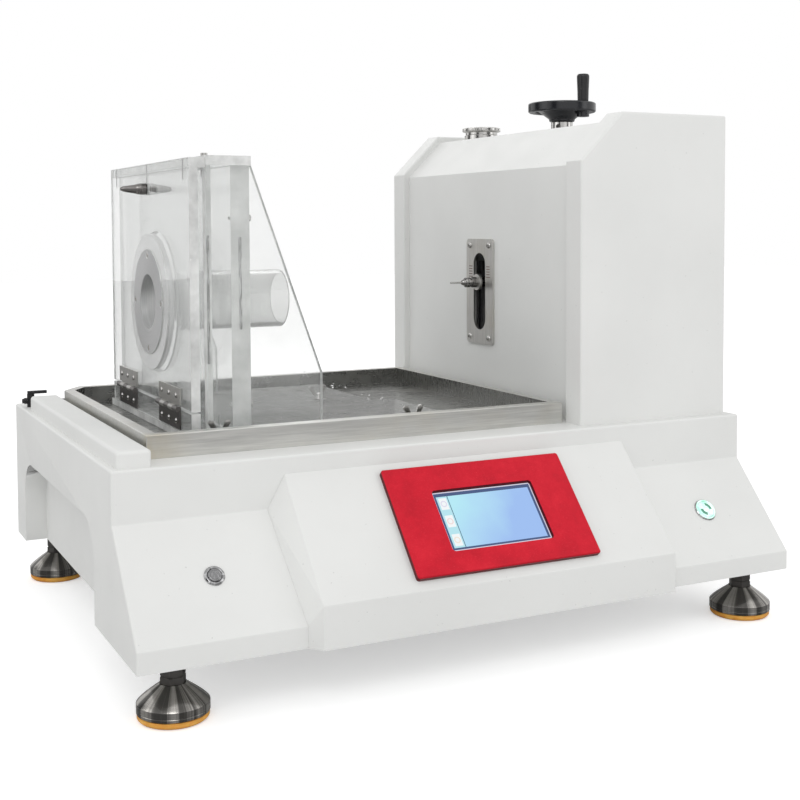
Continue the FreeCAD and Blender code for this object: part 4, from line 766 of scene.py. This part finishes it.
def addWorld(r):
    world = bpy.data.worlds.new("studio")
    bpy.context.scene.world = world
    world.use_nodes = True
    tree = world.node_tree
    soft = feed(tree, tree.nodes["Background"], {"Color": (1, 1, 1), "Strength": r["ambient"]})
    white = add(tree, "ShaderNodeBackground", {"Color": (1, 1, 1), "Strength": 1.0})
    rays = add(tree, "ShaderNodeLightPath").outputs
    seen = combine(tree, rays["Is Camera Ray"], rays["Is Transmission Ray"], "MAXIMUM")
    seen = combine(tree, seen, times(tree, rays["Is Glossy Ray"], r["glossy"]), "MAXIMUM")
    feed(tree, tree.nodes["World Output"], {"Surface": blended(tree, seen, soft.outputs[0], white.outputs[0])})


def addFloor(r):
    bm = bmesh.new()
    bmesh.ops.create_grid(bm, x_segments=1, y_segments=1, size=r["floorReach"])
    floor = fromBmesh("floor", bm, outward=False)
    floor.location.z = r["floorHeight"]
    material, tree, shader = startMaterial("paleFloor", r["floor"], roughness=0.7, Specular_IOR_Level=0.0)
    rays = add(tree, "ShaderNodeLightPath").outputs
    seen = combine(tree, rays["Is Camera Ray"], rays["Is Transmission Ray"], "MAXIMUM")
    glow = add(tree, "ShaderNodeEmission", {"Strength": times(tree, seen, r["floorGlow"])})
    lit = add(tree, "ShaderNodeAddShader", {0: shader.outputs[0], 1: glow.outputs[0]})
    # polished metal meets a greyer floor than the eye does
    sheen = r["floorSheen"]
    gray = add(tree, "ShaderNodeBsdfDiffuse", {"Color": (sheen, sheen, sheen)})
    reflected = combine(tree, rays["Is Glossy Ray"], rays["Is Transmission Ray"], "SUBTRACT")
    final = blended(tree, reflected, lit.outputs[0], gray.outputs[0])
    feed(tree, tree.nodes["Material Output"], {"Surface": final})
    floor.data.materials.append(material)


addLamps()
addCards()
addWorld(roomSet)
addFloor(roomSet)
bpy.context.scene.view_settings.view_transform = "Standard"
print("camera, lamps, cards and floor")

# Painted sheet metal
for node in ("base_cabinet", "tower_front_panel", "tower_rear_panel", "tower_skin", "tower_side_cover",
             "tray_rail", "bottom_plate"):
    dress(node, "paint")

consoleSet = {"round": 3.2, "steps": 4, "lowest": 0.057, "seam": -0.2065, "flank": 0.19, "longest": 0.35}


def consoleEdge(edge):
    # outer folds of the console only, not the sheet's rim or the cut for the screen
    c = consoleSet
    a, b = (vert.co for vert in edge.verts)
    if edge.calc_face_angle_signed(0) < 0.15 or max(a.z, b.z) < c["lowest"] or min(a.y, b.y) > c["seam"]:
        return False
    return abs(a.x - b.x) > c["longest"] or min(abs(a.x), abs(b.x)) > c["flank"]


dress("console_housing", "paint", consoleSet["round"], consoleSet["steps"], chosen=consoleEdge)
print("painted sheet metal")

# Drip tray, nozzle plate and its marks
traySet = {"edge": 0.5, "floorTop": 0.2265, "middle": (-0.09, 0.046), "weldFoot": (-333.6, -162.6, 224.0),
           "weldHigh": 21.0, "weldRadius": 0.7}


def insideTray(face):
    # floor and the inner sides of the walls, which get the darker finish: painted shade inside the basin, on a
    # wet floor
    if face.center.z < traySet["floorTop"] or abs(face.normal.z) > 0.5:
        return face.center.z < traySet["floorTop"]
    x, y = traySet["middle"]
    return (face.center.x - x) * face.normal.x + (face.center.y - y) * face.normal.y < 0


dress("drip_tray", "tray", traySet["edge"], 2, second=("shadedWetFloor", insideTray))


def weldBead(t):
    # rippled seam up the front left corner
    profile = [(0, 0)]
    for step in range(29):
        profile.append((t["weldRadius"] * (0.8 + 0.2 * (step % 2)), t["weldHigh"] * step / 28))
    profile.append((0, t["weldHigh"]))
    settle(lathe("weldBead", profile, t["weldFoot"], steps=12), "plate", slot="stainless")


weldBead(traySet)

plateSet = {"face": 166.5, "middle": (46.0, 366.0), "screwAcross": 24.0, "screwUp": 60.0, "tickFoot": 385.0,
            "tickStep": 3.4, "tickCount": 5, "tickAcross": 22.0, "tickSize": (10.0, 8.0, 0.9)}
dress("nozzle_plate", "plate", 0.6, 3)


def addTicks(p):
    long, short, thick = (size * mm for size in p["tickSize"])
    values = {"Count": p["tickCount"], "Step": p["tickStep"] * mm, "Long": long, "Short": short, "Thick": thick,
              "Finish": finishes["engraved"]}
    for side in (-1, 1):
        marks = grow("ticksLeft" if side < 0 else "ticksRight", trees["ticks"], values)
        y = p["middle"][0] + side * p["tickAcross"]
        marks.data.transform(Matrix.Translation(Vector((p["face"] + 0.12, y, p["tickFoot"])) * mm))
        settle(marks, "engraved", slot="stainless")


def plateScrews(p):
    screw = screwShape("plateScrew", [(1.0, 2.6), (2.4, 2.3), (3.6, 1.4), (4.1, 0.5), (4.1, 0)], 2.0, 6.0, 2.4)
    places = [((p["face"], p["middle"][0] + a * p["screwAcross"], p["middle"][1] + b * p["screwUp"]),
               (-1, 0, 0))
              for a in (-1, 1) for b in (-1, 1)]
    placeScrews("plateScrews", screw, places, "nickel", "nozzle_plate_screws")
    drop(screw)


addTicks(plateSet)
plateScrews(plateSet)
print("tray and nozzle plate")

# Nozzle and its drive
nozzleSet = {"start": (177.5, 46.0, 378.0), "axis": (-1, 0, 0), "stem": 6.0, "flange": (12.0, 16.0, 10.4),
             "hub": (16.0, 38.0, 6.9), "knurls": 26, "needle": (1.2, 16.0)}


def nozzleLook(n):
    low, high, wide = n["flange"]
    washer = rounded([(n["stem"] + 0.05, low), (wide, low), (wide, high), (n["stem"] + 0.05, high)], 0.5)
    settle(lathe("nozzleWasher", washer, n["start"], n["axis"]), "pale", "nozzle_body")
    start, end, hub = n["hub"]
    body = [(0, 0), (n["stem"], 0), (n["stem"], start), (hub - 0.7, start), (hub - 0.7, start + 7),
            (hub - 1.8, start + 7.4), (hub - 1.8, start + 9.6), (hub - 0.4, start + 10),
            (hub - 0.4, start + 13), (hub - 1.4, start + 13.5), (hub - 1.4, start + 14.3),
            (hub - 0.4, start + 14.8), (hub - 0.8, start + 16.4), (4.2, start + 17.2), (3.6, start + 19.5),
            (2.8, end - 0.6), (2.0, end), (0, end)]
    look = lathe("nozzleLook", rounded(body, 0.4, 2), n["start"], n["axis"])
    settle(look, "nozzle", "nozzle_body")
    ridge = lathe("ridge", [(0, 0), (0.5, 0.2), (0.5, 6.2), (0, 6.4)], (0, 0, 0), steps=6)
    values = {"Shape": ridge, "Count": n["knurls"], "Radius": (hub - 0.7) * mm, "Finish": finishes["nozzle"]}
    knurl = grow("nozzleKnurl", trees["ring"], values)
    foot = (Vector(n["start"]) + Vector(n["axis"]) * (start + 0.3)) * mm
    knurl.data.transform(Matrix.Translation(foot) @ axisTurn(n["axis"]))
    settle(addTurn(knurl, n["start"], n["axis"]), "nozzle", "nozzle_body")
    drop(ridge)
    radius, reach = n["needle"]
    needle = [(0, end - 8), (radius, end - 8), (radius, end + reach - 0.3), (radius - 0.2, end + reach),
              (0.5, end + reach), (0.5, end + reach - 3), (0, end + reach - 3)]
    settle(lathe("needleLook", needle, n["start"], n["axis"], 24), "nickel", "nozzle_needle")


nozzleLook(nozzleSet)
dress("nozzle_carriage", "black", 0.5, 2)
dress("slide_frame", "black", 0.5, 2)
driveSet = {"screw": (295.0, 46.0, 0.0), "rods": (262.0, 46.0, 0.0)}
dress("lead_screw", "nickel", turn=(driveSet["screw"], (0, 0, 1)))
dress("guide_rods", "nickel", turn=(driveSet["rods"], (0, 0, 1)))

# Handwheel, crank and collar
wheelSet = {"place": (295.0, 46.0, 590.3), "rim": (36.0, 45.0), "rimLow": 12.0, "high": 25.0, "hub": 17.0,
            "spokes": 3, "turn": -67.0, "crank": 33.0, "spokeWide": (6.5, 8.5), "bossRadius": 8.2,
            "pinRadius": 2.94}


def spokeShape(w):
    # one arm, thinner towards its edges, deep at the hub
    low, high = w["rimLow"], w["high"]
    outline = [(-9, low - 4), (-9, high - 5), (9.5, high - 4), (9.5, low + 2)]
    near, far = w["spokeWide"]
    bm = bmesh.new()
    rows = []
    for y in (-far, -near, near, far):
        thin = 1.6 if abs(y) == far else 0.0
        rows.append([bm.verts.new(Vector((x, y, z + (thin if z < high - 6 else -thin))) * mm) for x,
                     z in outline])
    for row, after in zip(rows, rows[1:]):
        for i in range(4):
            bm.faces.new((row[i], row[(i + 1) % 4], after[(i + 1) % 4], after[i]))
    bm.faces.new(rows[0])
    bm.faces.new(rows[-1])
    return bevelled(fromBmesh("spoke", bm), 0.8, 2)


def wheelLook(w):
    inner, outer = w["rim"]
    low, high, hub = w["rimLow"], w["high"], w["hub"]
    middle = (inner + outer) / 2
    rim = rounded([(inner, low + 2), (inner + 1.5, low), (outer - 1.6, low), (outer, low + 1.6),
                   (outer, high - 1.4), (outer - 1.4, high), (middle, high), (inner + 1, high - 0.3),
                   (inner, high - 2)], 0.9, 4)
    hubLine = rounded([(6.5, 0), (hub - 1, 0), (hub, 1), (hub, 3), (hub + 3, 5.5), (hub + 9, 10),
                       (inner - 4, low + 2), (inner - 4, low + 4), (hub + 5, high - 8), (hub + 2.5, high - 3),
                       (9, high - 3), (8, high - 5), (0, high - 5), (0, 3), (6.5, 3)], 1.0, 4)
    rimPart = lathe("wheelLook", rim, w["place"])
    hubPart = lathe("wheelHub", hubLine, w["place"])
    spoke = spokeShape(w)
    values = {"Shape": spoke, "Count": w["spokes"], "Radius": (hub + inner) / 2 * mm,
              "First": math.radians(w["turn"]), "Finish": finishes["black"]}
    spokes = grow("wheelSpokes", trees["ring"], values)
    spokes.data.transform(Matrix.Translation(Vector(w["place"]) * mm))
    drop(spoke)
    turn = math.radians(w["turn"])
    crank = Vector(w["place"]) + Vector((math.cos(turn), math.sin(turn), 0)) * w["crank"]
    pin = w["pinRadius"]
    bore = [(0, 6), (pin + 0.06, 6), (pin + 0.06, 30), (0, 30)]
    drilled(rimPart, lathe("rimTool", bore, crank, steps=32))
    drilled(spokes, lathe("spokeTool", bore, crank, steps=32))
    boss = rounded([(pin + 0.06, 5), (w["bossRadius"], 5), (w["bossRadius"], high), (pin + 0.06, high)], 0.5)
    bossPart = lathe("wheelBoss", boss, crank, steps=48)
    settle(joined(rimPart, hubPart, spokes, bossPart), "black", "handwheel")
    grip = rounded([(0, 25.3), (6.4, 25.3), (7.2, 26.2), (7.5, 40), (8.2, 56), (8.2, 59), (6.8, 61.3),
                    (0, 61.3)], 1.4, 4)
    settle(lathe("crankLook", grip, crank, steps=64), "grip", "crank_handle")
    pinLine = rounded([(0, 12.3), (pin, 12.3), (pin, 25.4), (0, 25.4)], 0.3)
    settle(lathe("crankPin", pinLine, crank, steps=32), "nickel", "crank_handle")


wheelLook(wheelSet)

collarSet = {"place": (295.0, 46.0, 573.0), "screw": (-0.80, -0.60), "screwUp": 10.5, "radius": 14.5}


def collarLook(c):
    profile = rounded([(6.3, 0), (17.5, 0), (17.5, 3), (15.2, 3.6), (c["radius"], 5.0), (c["radius"], 16.4),
                       (13.6, 17), (6.3, 17)], 0.5)
    settle(lathe("collarLook", profile, c["place"]), "nickel", "wheel_collar")
    grub = screwShape("grub", [(1.2, 0.1), (1.4, 1.4), (2.6, 1.5), (3.0, 1.1), (3.0, 0)], 2.2, 3.0)
    x, y = c["screw"]
    spot = Vector(c["place"]) + Vector((x * c["radius"], y * c["radius"], c["screwUp"]))
    placeScrews("grubScrew", grub, [(spot, (x, y, 0))], "nut", slot=slotOf["wheel_collar"])
    drop(grub)


collarLook(collarSet)

# Filler and liquid side
fillerSet = {"place": (260.0, 200.0, 573.0), "cap": 581.2, "body": 22.5, "flange": 27.4, "scallops": 24,
             "deep": 1.3}


def capLook(f):
    # turned cap with a scalloped grip flange over a narrower body
    body, flange = f["body"], f["flange"]
    profile = rounded([(0, 0), (body, 0), (body, 4.0), (flange - 1.2, 4.6), (flange, 5.6), (flange, 9.2),
                       (flange - 1.0, 10.2), (body, 10.4), (body - 1.5, 11.0), (0, 11.0)], 0.5)
    x, y, z = f["place"]
    cap = lathe("capLook", profile, (x, y, f["cap"]), steps=240)
    for vert in cap.data.vertices:
        away = vert.co - Vector((x, y, 0)) * mm
        out = math.hypot(away.x, away.y) / mm
        if out > body + 1.5:
            wave = math.cos(math.atan2(away.y, away.x) * f["scallops"])
            shrink = 1 - f["deep"] / out * max(0, wave) ** 0.7
            vert.co.x = x * mm + away.x * shrink
            vert.co.y = y * mm + away.y * shrink
    settle(cap, "nickel", "filler_cap", sharp=40)


capLook(fillerSet)
dress("filler_neck", "nickel", 0.6, 2, turn=(fillerSet["place"], (0, 0, 1)))
dress("reservoir", "vessel")
dress("solenoid_valve", "zinc", 0.3, 2)
dress("supply_tube", "zinc")
print("nozzle, wheel and filler")

# Console: frame, display, buttons
screenSet = {"centre": 3.0, "along": 76.2, "edge": -207.0, "top": 205.0, "tilt": math.atan2(107.5, 99.0),
             "wide": 118.6, "high": 68.0, "lift": 2.45, "frameAlong": 73.0, "frame": (216.0, 125.0, 6.0),
             "corner": 3.0, "chamfer": 1.0, "window": (121.0, 71.0, 3.6), "windowFoot": (119.2, 69.0),
             "paintedShadeBands": (0, 4, 5, 6)}
dress("touch_screen", "grip", 0.2, 1)
dress("control_board", "board")


def onSlope(s, along):
    top = Vector((s["centre"], s["edge"], s["top"])) * mm
    down = Vector((0, -along, 0)) * mm
    return Matrix.Translation(top) @ Matrix.Rotation(s["tilt"], 4, "X") @ Matrix.Translation(down)


def corners(wide, high, radius, shift=0.0, steps=6):
    # rectangle with rounded corners, in millimetres, anticlockwise
    points = []
    for a, b, start in ((1, 1, 0), (-1, 1, 90), (-1, -1, 180), (1, -1, 270)):
        for step in range(steps + 1):
            turn = math.radians(start + 90 * step / steps)
            x = a * (wide / 2 - radius) + radius * math.cos(turn)
            points.append((x, shift + b * (high / 2 - radius) + radius * math.sin(turn)))
    return points


def bezelLook(s):
    # slab with a chamfered rim and steep window walls; outer sides, walls and window in the darker red, which
    # is painted shade
    wide, high, thick = s["frame"]
    corner, cut = s["corner"], s["chamfer"]
    shift = s["frameAlong"] - s["along"]
    openWide, openHigh, bend = s["window"]
    footWide, footHigh = s["windowFoot"]
    outside = corners(wide, high, corner)
    foot = corners(footWide, footHigh, bend, shift)
    seat = corners(footWide + 7, footHigh + 3.4, bend, shift)
    crest = corners(wide - 2 * cut, high - 2 * cut, corner - cut / 2)
    rim = corners(openWide, openHigh, bend, shift)
    lip = corners(openWide - 0.6, openHigh - 0.6, bend, shift)
    loops = [(outside, 0.02), (outside, thick - cut), (crest, thick), (rim, thick), (lip, thick - 0.4),
             (foot, 2.5), (seat, 2.45), (seat, 0.02)]
    bm = bmesh.new()
    rings = [[bm.verts.new(Vector((x, y, z)) * mm) for x, y in outline] for outline, z in loops]
    for index, (ring, after) in enumerate(zip(rings, rings[1:] + rings[:1])):
        for i in range(len(ring)):
            j = (i + 1) % len(ring)
            face = bm.faces.new((ring[i], ring[j], after[j], after[i]))
            # bands in the darker red are painted shade
            face.material_index = 1 if index in s["paintedShadeBands"] else 0
    obj = fromBmesh("bezelLook", bm)
    obj.data.transform(onSlope(s, s["frameAlong"]))
    obj.data.materials.append(finishes["red"])
    obj.data.materials.append(finishes["redPaintedShade"])
    settle(obj, None, "screen_bezel", sharp=20)


bezelLook(screenSet)


def displayPicture(s):
    where = onSlope(s, s["along"])
    bm = bmesh.new()
    uv = bm.loops.layers.uv.new("picture")
    signs = [(-1, -1), (1, -1), (1, 1), (-1, 1)]
    top, low = [], []
    for row, z in ((top, s["lift"]), (low, s["lift"] - 0.3)):
        for x, y in signs:
            row.append(bm.verts.new(where @ (Vector((x * s["wide"] / 2, y * s["high"] / 2, z)) * mm)))
    face = bm.faces.new(top)
    for loop, (x, y) in zip(face.loops, signs):
        loop[uv].uv = ((x + 1) / 2, (y + 1) / 2)
    bm.faces.new(low[::-1])
    for i in range(4):
        bm.faces.new((top[i], low[i], low[(i + 1) % 4], top[(i + 1) % 4]))
    settle(fromBmesh("displayPicture", bm), "display", slot=slotOf["touch_screen"])


displayPicture(screenSet)

buttonSet = {"across": 294.0, "y": -249.5, "z": 123.5, "normal": (0, -0.7453, 0.6667), "start": 10.3,
             "power": 13.5, "ring": 3.4, "barrel": 20.0, "cap": 12.0}


def buttonLook(b):
    for side, radius, cap in ((-1, b["start"], "start_button"), (1, b["power"], "power_button")):
        origin = (side * b["across"], b["y"], b["z"])
        bore = radius - b["ring"]
        outside = radius - b["ring"] / 2
        lip = rounded([(bore, 2 - b["barrel"]), (bore, 1.6), (bore + 0.8, 2.2), (radius - 1.6, 2.2),
                       (radius - 0.3, 1.1), (radius, 0.05), (outside, 0.05), (outside, -b["barrel"]),
                       (0, -b["barrel"]), (0, 2 - b["barrel"])], 0.25)
        settle(lathe(cap + "Ring", lip, origin, b["normal"]), "chrome", "button_rings")
        reach = bore - 0.06
        if side < 0:
            face = [(0, -b["cap"]), (reach, -b["cap"]), (reach, 2.0), (reach - 0.6, 2.8), (reach - 1.6, 3.0),
                    (reach - 2.0, 2.7), (0, 3.2)]
            settle(lathe("startCap", rounded(face, 0.2, 2), origin, b["normal"]), "greyCap", cap)
        else:
            face = [(0, -b["cap"]), (reach, -b["cap"]), (reach, 2.1), (reach - 0.8, 2.8), (0, 3.2)]
            settle(lathe("powerCap", rounded(face, 0.3, 2), origin, b["normal"]), "mintCap", cap)
            glow = rounded([(bore + 0.3, 1.9), (bore + 0.3, 2.28), (radius - 1.5, 2.28), (radius - 1.2, 1.9)],
                           0.15, 2)
            settle(lathe("powerGlow", glow, origin, b["normal"]), "mint", slot=slotOf[cap])


buttonLook(buttonSet)
print("console")

# Levelling feet
footSet = {"across": 338.0, "front": -259.0, "rear": 266.0, "pad": 33.4, "cup": 34.0, "neck": 13.4,
           "shoulder": 33.2, "top": 40.0, "socket": 7.06, "hexagon": 12.4}


def onEachFoot(f, name, profile, finish, node, steps=96, sharp=32):
    spots = [(x, y, 0) for x in (-f["across"], f["across"]) for y in (f["front"], f["rear"])]
    settle(joined(*(lathe(name, profile, spot, steps=steps) for spot in spots)), finish, node, sharp=sharp)


def footLook(f):
    rim = f["cup"] - 1.2
    cone = [(rim - (rim - f["neck"]) * (t / 8) ** 1.12,
             17.2 + (f["shoulder"] - 18.0) * t / 8) for t in range(9)]
    cup = rounded([(0, 6.4), (f["cup"] - 1.5, 6.0), (f["cup"], 7.2), (f["cup"], 9.6), (f["cup"] - 0.35, 9.9),
                   (f["cup"], 10.2), (f["cup"], 16.0)], 0.25, 2) + cone
    cup += [(f["neck"] - 0.6, f["shoulder"]), (f["socket"], f["shoulder"]), (f["socket"], 20.0), (0, 20.0)]
    neck = [(8.3, f["shoulder"] - 0.1), (f["hexagon"] - 0.3, f["shoulder"] - 0.1),
            (f["hexagon"], f["shoulder"] + 0.5), (f["hexagon"], f["top"] - 0.8), (f["hexagon"] - 0.7, f["top"]),
            (8.3, f["top"])]
    pad = rounded([(0, 0.05), (f["pad"] - 2.5, 0.05), (f["pad"], 2.5), (f["pad"], 6.0), (f["pad"] - 1, 6.3),
                   (0, 6.3)], 0.8, 4)
    onEachFoot(f, "cupsLook", cup, "cupSteel", "foot_cups", sharp=24)
    onEachFoot(f, "necksLook", neck, "nut", "foot_cups", steps=6)
    onEachFoot(f, "padsLook", pad, "amber", "foot_pads")


footLook(footSet)
for name in ("front_left", "front_right", "rear_left", "rear_right"):
    dress("foot_stud_" + name, "nut", 0.35, 2)
print("feet")

# Clear fixture
clearSet = {"edge": 0.35, "gap": 0.03, "sawn": 0.6}
# each plate's finish, and the axis across its thickness
clearPlates = {"fixture_sill": ("clear", 0), "fixture_inner_plate": ("clear", 0),
               "fixture_back_plate": ("clear", 0), "fixture_side_plates": ("clear", 1),
               "fixture_top_plate": ("clear", 2), "door_plate": ("clear", 0), "door_top_rail": ("clear", 0),
               "fixture_base_plate": ("clearWet", 2)}


def sawnEdge(axis):
    return lambda face: abs(face.normal[axis]) < clearSet["sawn"]


for node, (finish, axis) in clearPlates.items():
    dress(node, finish, clearSet["edge"], shrink=clearSet["gap"], second=("clearEdge", sawnEdge(axis)))
dress("target_tube", "clearTube", shrink=clearSet["gap"])

hingeSet = {"leaf": -275.8, "centres": (-42.0, 134.0), "step": 27.2, "low": 244.56, "high": 271.84}
dress("door_hinge_lower", "hinge", 0.25, 2)
dress("door_hinge_upper", "hingeUpper", 0.25, 2)


def hingePlaces(h, z):
    rows = [centre + step * h["step"] for centre in h["centres"] for step in (-1, 0, 1)]
    return [((h["leaf"], y, z), (-1, 0, 0)) for y in rows]


screwSet = {"back": -206.0, "sides": (-102.0, 194.0), "rows": (263.2, 461.0), "top": (-252.0, -102.0, 526.0),
            "floor": (-216.5, 226.25), "floorRow": (-54.0, 46.0, 146.0), "rail": (-269.0, 523.6),
            "railRow": (-94.0, 46.0, 186.0)}
ringSet = {"place": (-274.0, 46.0, 366.0), "axis": (1, 0, 0), "bolts": 53.5, "latch": (-274.0, 46.0, 495.2)}


def fixtureScrews(h, s, r):
    leaf = screwShape("leafScrew", [(0.8, 1.7), (1.7, 1.45), (2.5, 0.9), (3.0, 0.2), (3.0, 0)], 1.5, 8.6, 1.5)
    long = screwShape("longScrew", [(1.7, 1.2), (1.9, 2.9), (3.3, 3.0), (3.6, 2.6), (3.6, 0)], 1.95, 19.8)
    floor = screwShape("floorScrew", [(1.95, 0.0), (1.95, -0.2)], 1.95, 19.6)
    rail = screwShape("railScrew", [(1.0, -0.6), (1.1, 0.0), (1.9, 0.0), (1.95, -0.2)], 1.95, 22.2)
    ring = screwShape("ringScrew", [(1.3, -1.4), (1.5, -0.3), (3.9, -0.25), (4.1, -0.45), (2.2, -2.4)], 2.1,
                      12.6)
    longPlaces = [((s["back"], y, z), (1, 0, 0)) for y in s["sides"] for z in s["rows"]]
    longPlaces.append((s["top"], (0, 0, 1)))
    floorPlaces = [((s["floor"][0], y, s["floor"][1]), (0, 0, -1)) for y in s["floorRow"]]
    placeScrews("sillScrews", leaf, hingePlaces(h, h["low"]), "nickel", "fixture_screws")
    placeScrews("longScrews", long, longPlaces, "nickel", "fixture_screws")
    placeScrews("floorScrews", floor, floorPlaces, "nickel", "fixture_screws")
    placeScrews("leafScrews", leaf, hingePlaces(h, h["high"]), "nickel", "door_hardware", seed=8)
    railPlaces = [((s["rail"][0], y, s["rail"][1]), (0, 0, 1)) for y in s["railRow"]]
    placeScrews("railScrews", rail, railPlaces, "darkSteel", "door_hardware")
    x, y, z = r["place"]
    turns = (0, math.pi / 2, math.pi, 3 * math.pi / 2)
    ringPlaces = [((x, y + r["bolts"] * math.cos(a), z + r["bolts"] * math.sin(a)), (-1, 0, 0)) for a in turns]
    placeScrews("ringScrews", ring, ringPlaces, "nickel", "door_hardware")
    drop(leaf, long, floor, rail, ring)


fixtureScrews(hingeSet, screwSet, ringSet)


def ringLook(r):
    # stepped clamp ring with turned lands and four countersunk holes
    profile = [(31.5, 0.5), (33.0, 0.05), (59.9, 0.05), (59.9, 5.1), (77.8, 5.1), (77.8, 15), (76.8, 16),
               (71, 16), (71, 18.4), (67.6, 18.5), (67.4, 18.0), (66.6, 18.0), (66.4, 18.5), (64, 18.5),
               (64, 20), (62, 21.5), (56, 21.5), (55.8, 21.0), (55.0, 21.0), (54.8, 21.5), (46, 21.5),
               (45.8, 21.1), (45, 21.1), (44.8, 21.5), (41.5, 21.5), (37.5, 8), (31.5, 8)]
    ring = lathe("ringLook", profile, r["place"], r["axis"], 128)
    sink = [(0, -1), (5.4, -1), (4.4, 0), (2.4, 2.2), (2.4, 24), (0, 24)]
    tools = []
    for index in range(4):
        turn = math.pi / 2 * index
        spot = Vector(r["place"]) + Vector((0, math.cos(turn), math.sin(turn))) * r["bolts"]
        tools.append(lathe("sink", sink, spot, r["axis"], 32))
    drilled(ring, *tools)
    settle(addTurn(ring, r["place"], r["axis"]), "aluminium", "specimen_ring", sharp=24)
    bush = rounded([(3.1, 0.1), (6.95, 0.1), (6.95, 9.9), (3.1, 9.9)], 0.4)
    settle(lathe("latchBush", bush, r["latch"], r["axis"], 48), "darkSteel", "door_hardware")
    knob = rounded([(0, -21.9), (1.6, -21.9), (3, -20.4), (3, 0.35), (5.8, 0.35), (6.5, 1.2), (6.5, 8),
                    (6.0, 9), (6.2, 10), (5.4, 12.2), (4.2, 20), (3.2, 26), (1.8, 29.4), (0, 30)], 0.4)
    settle(lathe("latchLook", knob, r["latch"], (-1, 0, 0), 64), "darkSteel", "door_latch")


ringLook(ringSet)
for name in ("front_left", "front_right", "rear"):
    node = "wing_bolt_" + name
    middle = (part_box(node)[0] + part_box(node)[1]) / 2 / mm
    dress(node, "nickel", 0.5, 2, turn=((middle.x, middle.y, 0), (0, 0, 1)))

dropSet = {"base": ((-246, 30), (-142, 216), 234.22, 5200.0), "tray": ((44, 140), (-146, 238), 226.03, 900.0),
           "sizes": (0.5, 1.9), "flat": 0.4}


def waterDrops(d):
    small, large = (size * mm for size in d["sizes"])
    for name, body in (("base", "fixture"), ("tray", "base")):
        xs, ys, z, density = d[name]
        mesh = bpy.data.meshes.new(name)
        spots = [(xs[0], ys[0]), (xs[1], ys[0]), (xs[1], ys[1]), (xs[0], ys[1])]
        mesh.from_pydata([Vector((x, y, z)) * mm for x, y in spots], [], [(0, 1, 2, 3)])
        values = {"Density": density, "Smallest": small, "Largest": large, "Flat": d["flat"], "Seed": 5,
                  "Finish": finishes["water"]}
        settle(grow(name + "Drops", trees["drops"], values, mesh), "water", body=body, slot="clear_acrylic")


waterDrops(dropSet)
print("fixture")

# Valve and rear fittings
dress("drain_valve_body", "grip", 0.5, 2)
dress("drain_valve_lever", "black", 0.7, 3)
dress("mains_inlet", "grip", 0.4, 2)
dress("air_inlet", "brass", 0.5, 2, turn=((-70.0, 290.0, 120.0), (0, 1, 0)))
dress("power_supply", "zinc", 0.4, 2)
print("fittings")

print("pieces made", len(made))
